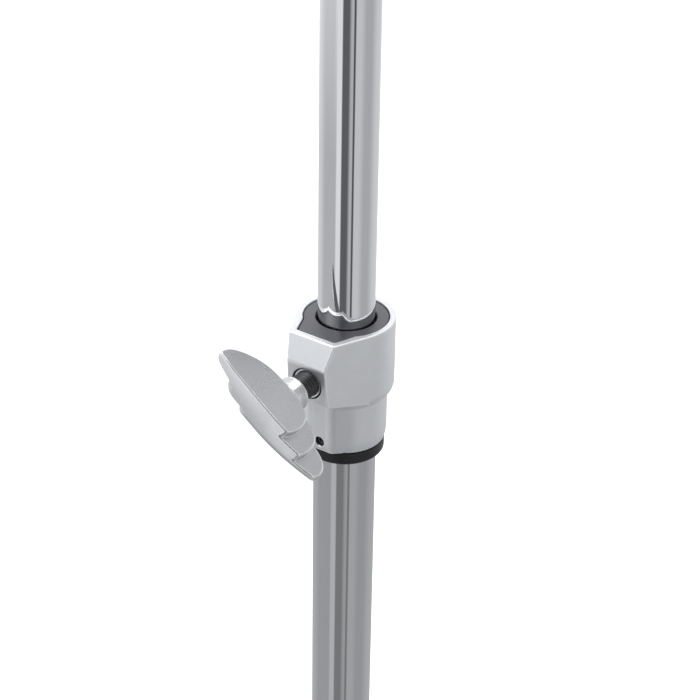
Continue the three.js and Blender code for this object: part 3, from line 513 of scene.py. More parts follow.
def clamp_barrel(x, y, z, tube):
    """The clamp's narrower lower part with its flat pad, drawn in towards the foot."""
    lower, pad_reach = tube + CLAMP_LOWER_WALL, tube + PAD_REACH
    pad = both(wedge(x, y, PAD_HALF, pad_reach, lower), -y - tube - PAD_REACH, PAD_ROUND)
    draw = FOOT_DRAW * np.maximum(FOOT_DRAW_HEIGHT - CLAMP_HEIGHT - z, 0) ** 2
    barrel = np.minimum(np.hypot(x, y) - lower, pad) + draw
    return both(barrel, slab(z, -CLAMP_HEIGHT, BARREL_TOP), 0.8)


def clamp_well(x, y, z, tube):
    """The hollow that the bushing stands in."""
    hollow = tube + CLAMP_WALL - CLAMP_SHELL
    sides = wedge(x, y, BUSHING_HALF, tube + BUSHING_REACH, hollow - WELL_NARROWER)
    front = both(sides, -y - tube - BUSHING_REACH, 0.9)
    return both(np.minimum(np.hypot(x, y) - hollow, front), -BUSHING_DEPTH - z, 0.3)


def clamp_body_field(tube, rod):
    """The cast clamp that sits on a tube and holds the thinner tube, rod."""

    def field(x, y, z):
        away = np.hypot(x, y)
        body = either(clamp_head(x, y, z, tube), clamp_barrel(x, y, z, tube), 0.5)
        body = both(body, z - CLAMP_RIM_RISE, EDGE_ROUND)
        body = without(body, clamp_well(x, y, z, tube), 0.5)
        body = without(body, away - rod - GAP, 0.2)
        body = without(body, both(away - tube - GAP, z + SHELF_DROP, 0.2), 0.3)
        screw = both(np.hypot(x, z + SCREW_DROP) - STUD - 2 * GAP - 1, y + tube, 0.1)
        body = without(body, screw, EDGE_ROUND)
        pin = both(np.hypot(x, z + PIN_DROP) - CLAMP_PIN_HOLE, y, 0.1)
        return without(body, pin, 0.35)

    return field


THROAT_WIDER, THROAT_DEPTH = 0.8, 4
CHANNEL_HALF_WIDTH, CHANNEL_HALF_HEIGHT = 6.3, 7.3


def bushing_field(tube, rod):
    """The moulded bushing, with a throat round the thinner tube and a channel for the shoe."""
    radius = tube + CLAMP_WALL - CLAMP_SHELL - GAP
    reach = tube + BUSHING_REACH - GAP

    def field(x, y, z):
        away = np.hypot(x, y)
        front = both(wedge(x, y, BUSHING_HALF - GAP, reach, radius - WELL_NARROWER), -y - reach, 0.8)
        plan = np.minimum(away - radius, front)
        body = both(plan, slab(z, -BUSHING_DEPTH + GAP, 0), EDGE_ROUND)
        body = without(body, away - rod - GAP, 0.2)
        body = without(body, both(away - rod - THROAT_WIDER, -THROAT_DEPTH - z, 0.1), 0.3)
        high = np.abs(z + SCREW_DROP) - CHANNEL_HALF_HEIGHT
        channel = both(both(np.abs(x) - CHANNEL_HALF_WIDTH, high, 0.1), y, 0.1)
        return without(body, channel, 0.2)

    return field


# Wing: three stepped tiers of one rounded blade on a hub.
# P runs along it, Q away from the clamp, B down the tiers.
WING_TILT = math.radians(36.5)
TIER_LENGTH, TIER_DEPTH, TIER_THICKNESS, TIER_PITCH, TIER_STEP = 46.0, 17.1, 5.4, 4.6, 10.5
WING_SHIFT, HUB_LENGTH, HUB_RADIUS, HUB_NECK, WING_REACH = 1.3, 6.4, 8.0, 6.5, 26.8
DISH, DISH_HALF = 0.5, 26
TAPER, TAPER_FROM = 0.2, -20
SWEEP, SWEEP_POWER, SWEEP_RIGHT, SWEEP_LEFT = 0.012, 1.8, 4, -22
LEAN, LEAN_CURVE, LEAN_FROM = 0.09, 0.0124, 4

# The ends of the tiers as shares of half the tier's length and of its depth, from the clamp side outwards
low_end = [
    (0.16, 1.0), (0.42, 0.88), (0.68, 0.66), (0.86, 0.45), (0.955, 0.26), (0.98, 0.08), (0.96, -0.07),
    (0.89, -0.2), (0.7, -0.34),
]
round_end = [
    (0.1, 1.04), (0.37, 1.05), (0.65, 1.0), (0.87, 0.89), (0.99, 0.73), (1.04, 0.48), (1.03, 0.2),
    (0.97, 0.0), (0.86, -0.18), (0.7, -0.34),
]
tall_end = [
    (0.1, 0.98), (0.37, 1.0), (0.65, 0.97), (0.85, 0.88), (0.95, 0.73), (1.01, 0.48), (1.0, 0.2),
    (0.96, 0.0), (0.86, -0.18), (0.7, -0.34),
]
left_end = [
    (0.1, 0.98), (0.37, 1.0), (0.65, 0.97), (0.83, 0.86), (0.94, 0.7), (1.0, 0.45), (1.0, 0.22),
    (0.965, 0.03), (0.89, -0.11), (0.77, -0.22), (0.6, -0.3),
]
middle_end = [
    (0.1, 0.9), (0.4, 0.88), (0.64, 0.85), (0.85, 0.75), (0.97, 0.58), (1.01, 0.38), (0.98, 0.16),
    (0.9, 0.0), (0.75, -0.18), (0.6, -0.34),
]


def tier_outlines():
    """(outline in P and Q, level in B) of the three tiers, the dished one first."""
    tiers = []
    ends = [(low_end, round_end), (left_end, tall_end), (left_end, middle_end)]
    for i, (left, right) in enumerate(ends):
        shares = [(-p, q) for p, q in reversed(left)] + right
        middle = WING_SHIFT + (i - 1) * TIER_STEP
        points = [(middle + p * TIER_LENGTH / 2, HUB_LENGTH + TIER_DEPTH * (1 - q)) for p, q in shares]
        tiers.append((softened(points), (i - 1) * TIER_PITCH))
    return tiers


def wing_field():
    """The tiers on their hub, cut to a front that sweeps back at both ends."""
    tiers = tier_outlines()
    half = TIER_THICKNESS / 2

    def field(p, q, b):
        blade = None
        for points, level in tiers:
            first = blade is None
            dish = DISH * np.clip(1 - (p / DISH_HALF) ** 2, 0, 1) if first else 0
            tier = both(outline(points, p, q), level - half + dish - b, 0.8 if first else 1.5)
            taper = TAPER * np.maximum(TAPER_FROM - p, 0)
            tier = both(tier, b - level - half + taper, 2.4)
            blade = tier if first else either(blade, tier, 1.2)
        sweep = SWEEP * np.maximum(p - SWEEP_RIGHT, 0) ** SWEEP_POWER
        sweep = sweep + SWEEP * np.maximum(SWEEP_LEFT - p, 0) ** SWEEP_POWER
        lean = LEAN_FROM - b
        front = q - WING_REACH + sweep + LEAN * lean + LEAN_CURVE * lean**2
        front = both(front / 1.05, b - TIER_PITCH - half, 4.6)
        blade = both(blade, front, 0.6)
        away = np.hypot(p, b)
        cone = away - HUB_RADIUS + (HUB_RADIUS - HUB_NECK) * np.clip(q / HUB_LENGTH, 0, 1)
        hub = both(cone, slab(q, 0, HUB_LENGTH + 0.7), 0.6)
        wing = either(blade, hub, 0.8)
        return without(wing, both(away - STUD - GAP, q - STUD_IN_HUB - GAP, 0.1), 0.2)

    return field


wing_form = skin(wing_field(), (-34, 0, -8), (37, 29, 8), 0.4)


def wing_matrix(hub_face, z, share=1.0):
    """From the wing's own axes to its place, its hub starting hub_face in front of the axis."""
    along = Vector((math.cos(WING_TILT), 0, -math.sin(WING_TILT)))
    outwards = Vector((0, -1, 0))
    down = along.cross(outwards)
    turn = Matrix((along, outwards, down)).transposed().to_4x4()
    return shift(0, -hub_face, z) @ turn @ Matrix.Scale(share, 4)


def thread_insert_form(tube):
    """The light ring round the stud, from the bushing out to just under the boss's falling face."""
    lean = (BOSS_REACH - BOSS_FOOT_REACH) / (BOSS_FOOT_DROP - BOSS_BREAK_DROP)
    face = tube + BOSS_REACH - lean * (SCREW_DROP - BOSS_BREAK_DROP) - 0.35
    back, bore, flange = tube + BUSHING_REACH + GAP, STUD + 0.1, STUD + GAP + 1
    step, lip = back + 2, bore + 0.9
    corners = [(bore, back), (flange, back), (flange, step), (lip, step), (lip, face), (bore, face)]
    return turned(corners, 64, 0.15)


def clamp_pin_form(tube):
    """The black pin, sunk in the pad and with a socket in its head."""
    r, tip, head = CLAMP_PIN, tube + 0.1, tube + PAD_REACH - 1.6
    return turned([(0, tip), (r, tip), (r, head, 0.5), (1.0, head, 0.2), (1.0, head - 1), (0, head - 1)], 40)


def height_clamp(side, tube, rod, rim, body, screw_body):
    """All pieces of a clamp but for its shoe, which shows nowhere and stays as the CAD has it."""
    box = tube + BOSS_REACH + 1
    back = tube + CLAMP_WALL + 1
    place = shift(0, 0, rim)
    name = side + "_clamp_"

    def painted_hole_shade(x, y, z):
        """Painted shade in the screw hole and in the pin's hole."""
        screw = np.maximum(np.hypot(x, z + SCREW_DROP) - STUD - 2 * GAP - 1.05, y + tube)
        screw = np.maximum(screw, -y - tube - BOSS_REACH + 0.9)
        pin = np.maximum(np.hypot(x, z + PIN_DROP) - 2.45, np.maximum(y, -y - tube - PAD_REACH + 0.5))
        return np.minimum(screw, pin)

    form = skin(clamp_body_field(tube, rod), (-back, -box, -CLAMP_HEIGHT), (back, back, 1), 0.55, painted_hole_shade)
    piece(name + "body", body, "cast_metal", moved(form, place))

    # Painted shade round the thinner tube, inside the bushing's throat.
    def throat(x, y, z):
        return np.maximum(np.hypot(x, y) - rod - 0.85, z + 0.3)

    form = skin(bushing_field(tube, rod), (-back, -box, -BUSHING_DEPTH), (back, back, 0), 0.6, throat)
    piece(name + "bushing", body, "plastic_dark", moved(form, place))
    low, high = height_span(name + "end_ring")
    outer, inner = tube + END_RING_WALL, tube + GAP
    ring = turned([(inner, low), (outer, low, 1.4), (outer, high, 0.3), (inner, high)], 128)
    piece(name + "end_ring", body, "plastic_black", ring)
    screw_z, pin_z = rim - SCREW_DROP, rim - PIN_DROP
    piece(name + "thread_insert", body, "zinc_steel", lay_forward(thread_insert_form(tube), screw_z))
    piece(name + "pin", body, "steel_black", lay_forward(clamp_pin_form(tube), pin_z))
    hub_face = tube + BOSS_REACH + STUD_SHOWS
    stud_tip = rod + GAP + 6.3
    stud = threaded(STUD, CLAMP_THREAD_PITCH, stud_tip, hub_face + STUD_IN_HUB)
    piece(name + "stud", screw_body, "steel_black", lay_forward(stud, screw_z))
    piece(name + "wing", screw_body, "wing_metal", moved(wing_form, wing_matrix(hub_face, screw_z)))


height_clamp("lower", BASE_TUBE, MIDDLE_TUBE, lower_rim, "base", "lower_screw")
height_clamp("upper", MIDDLE_TUBE, TOP_TUBE, upper_rim, "middle", "upper_screw")


# Tripod


def tongue_field(x, y, z, azimuth, half):
    """(blade, hole for its pin, distance along it) of a collar's tongue."""
    along = x * math.cos(azimuth) + y * math.sin(azimuth)
    across = y * math.cos(azimuth) - x * math.sin(azimuth)
    blade = np.hypot(np.maximum(along - PIVOT_RADIUS, 0), z) - 8
    blade = both(both(blade, np.abs(across) - half, 0.8), 14 - along, 0.2)
    return blade, np.hypot(along - PIVOT_RADIUS, z) - PIN_RADIUS - GAP, along


LEG_COLLAR, LEG_COLLAR_SCREW, COLLAR_BELOW = 21, 16, 12


def collar_form(radius, above, bore, half, boss=None):
    """A collar with three tongues at Z = 0, and perhaps a boss at a height for a screw."""

    def field(x, y, z):
        away = np.hypot(x, y)
        body = both(away - radius, slab(z, -COLLAR_BELOW, above), 1.4)
        body = np.minimum(body, both(away - radius - 0.7, slab(z, above - 4, above), 0.7))
        if boss:
            block = both(both(np.abs(x) - 8, np.abs(z - boss) - 8, 2.5), slab(y, -29, 0), 1.2)
            body = either(body, block, 1.8)
        for azimuth in LEG_AZIMUTHS:
            blade, hole, along = tongue_field(x, y, z, azimuth, half)
            body = either(body, blade, 1.6)
            body = without(body, np.maximum(hole, -along), 0.3)
        body = without(body, away - bore, 0.4)
        if boss:
            body = without(body, np.maximum(np.hypot(x, z - boss) - SMALL_STUD - GAP, y), 0.3)
        return body

    reach = PIVOT_RADIUS + 9
    return skin(field, (-reach, -reach, -COLLAR_BELOW), (reach, reach, above), 0.65)


stay_collar = collar_form(20, 14, BASE_TUBE + GAP, STAY_INSIDE - GAP)
piece("stay_collar", "base", "cast_metal", moved(stay_collar, shift(0, 0, low_pivot_z)))
bore = BASE_TUBE + BUSH_WALL + 2 * GAP
leg_collar = collar_form(LEG_COLLAR, 28, bore, LEG_INSIDE - GAP, LEG_COLLAR_SCREW)
piece("leg_collar", "leg_slider", "cast_metal", moved(leg_collar, shift(0, 0, high_pivot_z)))

bush_low, bush_high = height_span("leg_collar_bushing")
bush_inner = BASE_TUBE + GAP
bush_outer, bush_flange = bush_inner + BUSH_WALL, bush_high - 2
piece("leg_collar_bushing", "leg_slider", "plastic_black", turned([
    (bush_inner, bush_low), (bush_outer, bush_low), (bush_outer, bush_flange),
    (LEG_COLLAR, bush_flange, 0.2), (LEG_COLLAR, bush_high, 0.8), (bush_inner, bush_high, 0.5),
]))


# The small wing's scale, and how far before scaling the collar bolt's hub lies behind the CAD bolt's front
SMALL_WING_SHARE, HUB_SETBACK = 0.72, 25.9


def wing_bolt(name, body, tip, hub_face, z):
    """A small wing bolt, its wing the clamp's at a smaller scale."""
    stud = threaded(SMALL_STUD, SMALL_THREAD_PITCH, tip, hub_face + 4, steps=8)
    wing = moved(wing_form, wing_matrix(hub_face, z, SMALL_WING_SHARE))
    piece(name, body, "wing_metal", joined(wing, lay_forward(stud, z)))


bolt_low, bolt_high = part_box("leg_collar_wing_bolt")
bolt_hub = -bolt_low.y / MM - SMALL_WING_SHARE * HUB_SETBACK
wing_bolt(
    "leg_collar_wing_bolt", "leg_slider_bolt", -bolt_high.y / MM, bolt_hub, high_pivot_z + LEG_COLLAR_SCREW,
)


RIB_START, LEG_RIB_SHORT = 14, 34


def strap_form(length, outer, rib_short):
    """A flat strap with round ends along X, its pressed rib on the outer side of Z."""
    half, edge = STRAP_WIDTH / 2, 0.35
    curve = bpy.data.curves.new("strap", "CURVE")
    curve.dimensions, curve.fill_mode = "2D", "BOTH"
    curve.extrude = STRAP_THICKNESS / 2 - edge
    curve.bevel_depth, curve.bevel_resolution, curve.offset = edge, 2, -edge
    arc = [math.pi * (0.5 + k / 16) for k in range(17)]
    rim = [(half * math.cos(a), half * math.sin(a)) for a in arc]
    rim += [(length - x, -y) for x, y in rim]
    rings = [rim]
    hole = PIN_RADIUS + GAP + edge
    for x in (0, STAY_LENGTH):
        angles = [-k * math.pi / 12 for k in range(24)]
        rings.append([(x + hole * math.cos(a), hole * math.sin(a)) for a in angles])
    for ring in rings:
        spline = curve.splines.new("POLY")
        spline.points.add(len(ring) - 1)
        for point, (x, y) in zip(spline.points, ring):
            point.co = (x, y, 0, 1)
        spline.use_cyclic_u = True
    thing = placed("strap", curve)
    bpy.context.view_layer.update()
    mesh = bpy.data.meshes.new_from_object(thing.evaluated_get(bpy.context.evaluated_depsgraph_get()))
    bpy.data.objects.remove(thing)
    bpy.data.curves.remove(curve)
    points = np.array([v.co for v in mesh.vertices])
    faces = [list(p.vertices) for p in mesh.polygons]
    bpy.data.meshes.remove(mesh)
    rib = rib_form(RIB_START, length - rib_short, outer * STRAP_THICKNESS / 2, outer)
    return joined((points, faces, None, None), rib)


def rib_form(start, end, level, outer):
    """A long low rib with run-out ends, 5 mm wide, that rises from a face."""
    width, rise, runs, steps = 2.6, 0.6, 60, 8
    points, faces = [], []
    for i in range(runs + 1):
        x = start + (end - start) * i / runs
        fade = min(1, (x - start) / 6, (end - x) / 6)
        fade = math.sin(max(fade, 0) * math.pi / 2)
        for k in range(steps + 1):
            across = -1 + 2 * k / steps
            lift = rise * fade * math.cos(across * math.pi / 2) ** 1.3 if abs(across) < 1 else 0
            points.append((x, across * width * (0.4 + 0.6 * fade), level + outer * (lift - 0.03)))
    for i in range(runs):
        for k in range(steps):
            a = i * (steps + 1) + k
            face = [a, a + steps + 1, a + steps + 2, a + 1]
            faces.append(face if outer > 0 else face[::-1])
    return np.array(points), faces, None, None


def strap_matrix(azimuth, slant, side, z):
    """From a strap's own axes to the leg: X along the slant from straight down, Z across the leg."""
    along = Vector((math.sin(slant), 0, -math.cos(slant)))
    across = Vector((0, 1, 0))
    turn = Matrix((along, across.cross(along), across)).transposed().to_4x4()
    return Matrix.Rotation(azimuth, 4, "Z") @ shift(PIVOT_RADIUS, side, z) @ turn


def flat_shaded(thing):
    """Keeps a plate's faces flat up to its rounded edges."""
    thing.data.set_sharp_from_angle(angle=math.radians(50))
    weigh = thing.modifiers.new("weighted_normals", "WEIGHTED_NORMAL")
    weigh.keep_sharp = True


def rivet(name, body, grip, azimuth, radius, z):
    """A pin with two domed heads, laid across the leg at an azimuth, at a radius and a height."""
    high, crown = grip + PIN_HEAD_HEIGHT, 3.2
    form = turned([
        (0, -high), (crown, -high, 1.5), (PIN_HEAD, -grip - 0.5, 0.4), (PIN_HEAD, -grip, 0.1),
        (PIN_RADIUS, -grip, 0.1), (PIN_RADIUS, grip, 0.1),
        (PIN_HEAD, grip, 0.1), (PIN_HEAD, grip + 0.5, 0.4), (crown, high, 1.5), (0, high),
    ], 40)
    place = Matrix.Rotation(azimuth, 4, "Z") @ shift(radius, 0, z) @ FORWARD
    piece(name, body, "zinc_steel", moved(form, place))


leg_straps = {side: strap_form(LEG_LENGTH, side, LEG_RIB_SHORT) for side in (1, -1)}
stay_straps = {side: strap_form(STAY_LENGTH, side, RIB_START) for side in (1, -1)}
leg_face, stay_face = LEG_INSIDE + STRAP_THICKNESS / 2, STAY_INSIDE + STRAP_THICKNESS / 2
leg_grip, stay_grip = LEG_INSIDE + STRAP_THICKNESS + GAP, STAY_INSIDE + STRAP_THICKNESS + GAP
middle_radius = PIVOT_RADIUS + STAY_LENGTH * math.sin(LEG_SLANT)
middle_z = high_pivot_z - STAY_LENGTH * math.cos(LEG_SLANT)
toe_radius = PIVOT_RADIUS + LEG_LENGTH * math.sin(LEG_SLANT)
toe_z = high_pivot_z - LEG_LENGTH * math.cos(LEG_SLANT)
floor_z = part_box("foot_1")[0].z / MM


def foot_field(x, y, z):
    """The rubber foot in its leg's frame, X outwards from the toe."""
    along = x * math.sin(LEG_SLANT) - z * math.cos(LEG_SLANT)
    off = x * math.cos(LEG_SLANT) + z * math.sin(LEG_SLANT)
    groove = 0.45 * np.clip(np.cos(along * 2 * math.pi / 4.2) * 3, -1, 1) * (along < -4) * (along > -27)
    wide = LEG_INSIDE + STRAP_THICKNESS + 3
    grip = both(both(np.abs(y) - wide + 0.45 - groove, np.abs(off) - 10, 3), slab(along, -30, 10), 2)
    tread = 0.5 * np.clip(np.cos((z - floor_z + toe_z) * 2 * math.pi / 4) * 3, -1, 1)
    pad = both(np.hypot(x, y) - 14.5 - tread * 0.8, slab(z, floor_z - toe_z, 0), 1.6)
    foot = both(either(grip, pad, 3.5), floor_z - toe_z - z, 0.8)
    thin = np.abs(np.abs(y) - leg_face) - STRAP_THICKNESS / 2 - GAP
    slot = np.maximum(thin, np.abs(off) - STRAP_WIDTH / 2 - GAP)
    return without(foot, np.maximum(slot, along - STRAP_WIDTH / 2 - GAP), 0.2)


foot_form = skin(foot_field, (-36, -17, -14), (18, 17, 30), 0.7)

for number, azimuth in enumerate(LEG_AZIMUTHS, 1):
    leg, stay = f"leg_{number}", f"stay_{number}"
    for word, side in (("left", 1), ("right", -1)):
        matrix = strap_matrix(azimuth, LEG_SLANT, side * leg_face, high_pivot_z)
        flat_shaded(piece(f"{leg}_{word}_strap", leg, "tube_chrome", moved(leg_straps[side], matrix)))
        matrix = strap_matrix(azimuth, math.pi - LEG_SLANT, side * stay_face, low_pivot_z)
        flat_shaded(piece(f"{stay}_{word}_strap", stay, "tube_chrome", moved(stay_straps[side], matrix)))
    rivet(f"{leg}_top_pin", "leg_slider", leg_grip, azimuth, PIVOT_RADIUS, high_pivot_z)
    rivet(f"{leg}_middle_pin", stay, leg_grip, azimuth, middle_radius, middle_z)
    rivet(f"{stay}_foot_pin", "base", stay_grip, azimuth, PIVOT_RADIUS, low_pivot_z)
    matrix = Matrix.Rotation(azimuth, 4, "Z") @ shift(toe_radius, 0, toe_z)
    piece(f"foot_{number}", leg, "rubber_black", moved(foot_form, matrix))


# Tilter, its heights from the head of the top tube
head_z = height_span("top_tube")[1]
PIVOT_RISE, DISC_RADIUS, DISC_THICKNESS, DISC_TEETH = 21.0, 15.0, 9.0, 36
STUB_START, STUB_END, SHOULDER_RISE = 17, 42, 64
NECK_HALF, STUB_RADIUS = 7, 8
NUT_FLATS, NUT_HALF = 6.5, 3.25


def disc_on_stem(x, y, z, stem, near, far, low, high):
    """(body, distance from the pivot) of a stem, a neck and a disc that is toothed next to Y = 0."""
    away = np.hypot(x, z - PIVOT_RISE)
    turn = np.arctan2(z - PIVOT_RISE, x)
    teeth = 0.5 * (0.5 + 0.5 * np.cos(DISC_TEETH * turn)) * (np.abs(y) < 2.2)
    disc = both(away - DISC_RADIUS + teeth, slab(y, near, far), 0.6)
    rim = np.abs(y) - DISC_THICKNESS + 0.7
    recess = both(np.abs(away - 10.5) - 2.2, -rim, 0.3)
    neck = both(np.abs(x) - NECK_HALF, slab(y, near, far), 1.5)
    neck = both(neck, slab(z, low, high), 0.3)
    return either(either(stem, neck, 2.2), without(disc, recess, 0.3), 1.2), away


def tilter_base_field(x, y, z):
    """The socket on the top tube with the rear disc."""
    away = np.hypot(x, y)
    socket = both(away - TOP_TUBE - 3.6, slab(z, -26, 3.6), 1.2)
    body, from_pivot = disc_on_stem(x, y, z, socket, GAP, DISC_THICKNESS, -2, PIVOT_RISE)
    body = np.maximum(body, np.where(z > 5, GAP - y, -1))
    body = without(body, both(away - TOP_TUBE - GAP, z - 0.1, 0.1), 0.3)
    return without(body, np.maximum(from_pivot - SMALL_STUD - GAP, -y), 0.3)


def tilter_head_field(x, y, z):
    """The front disc with the stub that the cymbal rod stands in."""
    low = PIVOT_RISE + STUB_START
    away = np.hypot(x, y)
    stub = both(away - STUB_RADIUS, slab(z, low, PIVOT_RISE + STUB_END), 1.2)
    body, from_pivot = disc_on_stem(x, y, z, stub, -DISC_THICKNESS, -GAP, PIVOT_RISE, low + 3)
    body = np.maximum(body, np.where(z < PIVOT_RISE + 15.5, y + GAP, -1))
    body = without(body, both(away - 5.5, PIVOT_RISE + 20 - z, 0.1), 0.3)
    return without(body, np.maximum(from_pivot - SMALL_STUD - GAP, y), 0.3)


def nut_field(x, y, z):
    turn = np.arctan2(y, x)
    sector = (turn + math.pi / 6) % (math.pi / 3) - math.pi / 6
    away = np.hypot(x, y)
    flats = away * np.cos(sector) - NUT_FLATS
    cone = (away + (np.abs(z) - NUT_HALF) * 1.6 - 6.7) / 1.9
    body = both(both(flats, np.abs(z) - NUT_HALF, 0.25), cone, 0.2)
    return without(body, away - SMALL_STUD - 0.15, 0.3)


lift = shift(0, 0, head_z)
tilter_base = skin(tilter_base_field, (-15, -14, -26), (15, 14, 36), 0.55)
piece("tilter_base", "top", "cast_metal", moved(tilter_base, lift))
tilter_head = skin(tilter_head_field, (-15, -9, 6), (15, 8, 63), 0.55)
piece("tilter_head", "tilter", "cast_metal", moved(tilter_head, lift))
nut_centre = DISC_THICKNESS + 0.1 + NUT_HALF
nut = moved(skin(nut_field, (-8, -8, -4), (8, 8, 4), 0.35), FORWARD)
piece("tilter_nut", "top", "zinc_steel", moved(nut, shift(0, nut_centre, head_z + PIVOT_RISE)))
tilter_tip = -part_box("tilter_wing_bolt")[1].y / MM
wing_bolt("tilter_wing_bolt", "tilter_bolt", tilter_tip, DISC_THICKNESS + GAP, head_z + PIVOT_RISE)

# Cymbal seat
ROD_THICK, ROD_THIN, ROD_THREAD = 5.2, 3.9, 4.0
rod_low, rod_high = height_span("cymbal_rod")
shoulder = head_z + PIVOT_RISE + SHOULDER_RISE
thin_end = shoulder + 30
rod_form = joined(
    turned([
        (0, rod_low), (ROD_THICK, rod_low), (ROD_THICK, shoulder, 0.4),
        (ROD_THIN, shoulder, 0.1), (ROD_THIN, thin_end), (0, thin_end),
    ], 64),
    threaded(ROD_THREAD, SMALL_THREAD_PITCH, shoulder + 26, rod_high, sides=40, steps=10),
)
piece("cymbal_rod", "tilter", "tube_chrome", rod_form)

ROD_CLEAR, SEAT_SHEET, CUP_RIM = 4.3, 1.5, 2.5
SLEEVE_OUTER, SLEEVE_FLANGE = 6.3, 9.5
cup_low = height_span("cup_washer")[0]
cup_floor, cup_rim = cup_low + SEAT_SHEET, cup_low + CUP_RIM
piece("cup_washer", "tilter", "tube_chrome", turned([
    (ROD_CLEAR, cup_low), (16.5, cup_low, 0.8), (19, cup_rim, 0.4),
    (17.5, cup_rim + SEAT_SHEET, 0.5), (15.75, cup_floor, 0.8), (ROD_CLEAR, cup_floor),
], 96, 0.35))
sleeve_low, sleeve_high = height_span("cymbal_sleeve")
sleeve_step = sleeve_low + SEAT_SHEET
piece("cymbal_sleeve", "tilter", "plastic_black", turned([
    (ROD_CLEAR, sleeve_low), (SLEEVE_FLANGE, sleeve_low), (SLEEVE_FLANGE, sleeve_step),
    (SLEEVE_OUTER, sleeve_step), (SLEEVE_OUTER, sleeve_high, 0.6), (ROD_CLEAR, sleeve_high),
], 64))


def felt_field(x, y, z):
    """A pressed felt washer, 10 mm thick, with a slightly uneven outside."""
    away = np.hypot(x, y)
    turn = np.arctan2(y, x)
    uneven = 0.12 * np.sin(5 * turn + 0.9 * z) + 0.1 * np.sin(11 * turn - 1.7 * z)
    uneven = uneven + 0.08 * np.sin(23 * turn + 2.3 * z)
    sag = 0.1 * np.sin(3 * turn) * np.clip((away - 8) / 8, 0, 1)
    body = both(away - 15.75 - uneven, np.abs(z) - 4.9 + sag + 0.1, 1.9)
    return without(body, away - 6.6, 0.7)


felt_form = skin(felt_field, (-16.5, -16.5, -5), (16.5, 16.5, 5), 0.5)
for name, body in (("lower_felt", "tilter"), ("upper_felt", "felt_slider")):
    low, high = height_span(name)
    pad = piece(name, body, "felt_grey", moved(felt_form, shift(0, 0, (low + high) / 2)))


def bent(start, control, end, steps=8):
    """Points along a curve that leaves start towards control and reaches end from it."""
    spots = []
    for t in [k / steps for k in range(1, steps + 1)]:
        ends = zip(start, control, end)
        spots.append([(1 - t) ** 2 * a + 2 * t * (1 - t) * b + t * t * c for a, b, c in ends])
    return spots


# The wing nut's leaf from the side: (outwards, up)
leaf = [(3.0, 0.2), (6.5, 0)]
leaf += bent((6.5, 0), (19, 0), (19, 9))
leaf += bent((19, 9), (19, 16.5), (8.5, 12)) + [(3.0, 8)]


def wing_nut_field(x, y, z):
    away = np.hypot(x, y)
    hub = both(away - 8.5 + 2 * np.clip(z / 12, 0, 1), slab(z, 0, 12), 0.8)
    leaves = both(outline(leaf, np.abs(x), z), np.abs(y) - 1.5, 1.1)
    return without(either(hub, leaves, 1.5), away - ROD_CLEAR, 0.4)


nut_low = height_span("wing_nut")[0]
nut_form = skin(wing_nut_field, (-19.5, -9, 0), (19.5, 9, 16), 0.5)
piece("wing_nut", "nut", "plastic_black", moved(nut_form, shift(0, 0, nut_low)))


# Studio: a white floor and backdrop, four soft lamps, and a surround that only reflections see


def seen_directly(tree):
    """1 for camera, glossy and transmission rays, and 0 for the others."""
    rays = add_node(tree, "LightPath").outputs
    seen = rays["Is Camera Ray"]
    for ray in ("Is Glossy Ray", "Is Transmission Ray"):
        seen = add_node(tree, "Math", {"operation": "MAXIMUM"}, {0: seen, 1: rays[ray]}).outputs[0]
    return seen


def studio_part(name, points, faces):
    """(object, node tree) of a part of the studio, its material still empty."""
    mesh = bpy.data.meshes.new(name)
    mesh.from_pydata(points, [], faces)
    made = bpy.data.materials.new(name)
    made.use_nodes = True
    made.node_tree.nodes.clear()
    mesh.materials.append(made)
    return placed(name, mesh), made.node_tree


def make_floor():
    """A wide floor just under the feet that is seen white."""
    reach, z = 12.0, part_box("foot_1")[0].z - 0.0002
    corners = [(-reach, -reach, z), (reach, -reach, z), (reach, reach, z), (-reach, reach, z)]
    floor, tree = studio_part("studio_floor", corners, [(0, 1, 2, 3)])
    strength = ranged(tree, seen_directly(tree), 0, 1, 0, 0.6)
    paint = add_node(tree, "BsdfDiffuse", Color=(0.72, 0.72, 0.73, 1))
    glow = add_node(tree, "Emission", Color=(1, 1, 1, 1), Strength=strength)
    total = add_node(tree, "AddShader", {}, {0: paint.outputs[0], 1: glow.outputs[0]})
    add_node(tree, "OutputMaterial", Surface=total.outputs[0])


def make_world():
    """White where it is seen, and dimmer as a light."""
    world = bpy.data.worlds.new("studio")
    bpy.context.scene.world = world
    world.use_nodes = True
    tree = world.node_tree
    strength = ranged(tree, seen_directly(tree), 0, 1, 0.55, 1.0)
    feed(tree, tree.nodes["Background"], {"Color": (1, 1, 1, 1), "Strength": strength})


VIEW_TURN, VIEW_RISE, VIEW_ROLL = math.radians(34.6), 0.5149, -0.0149
VIEW_DISTANCE = 0.83392
PICTURE, FOCAL_PIXELS = 700, 1900.0
AIM_PIXELS = (-3.6082, -34.2842)


def aside(degrees, distance, height):
    """A place round the clamp, turned from the camera's direction, positive to the right in the picture."""
    a = VIEW_TURN + math.radians(degrees)
    return Vector((math.sin(a) * distance, -math.cos(a) * distance, height))


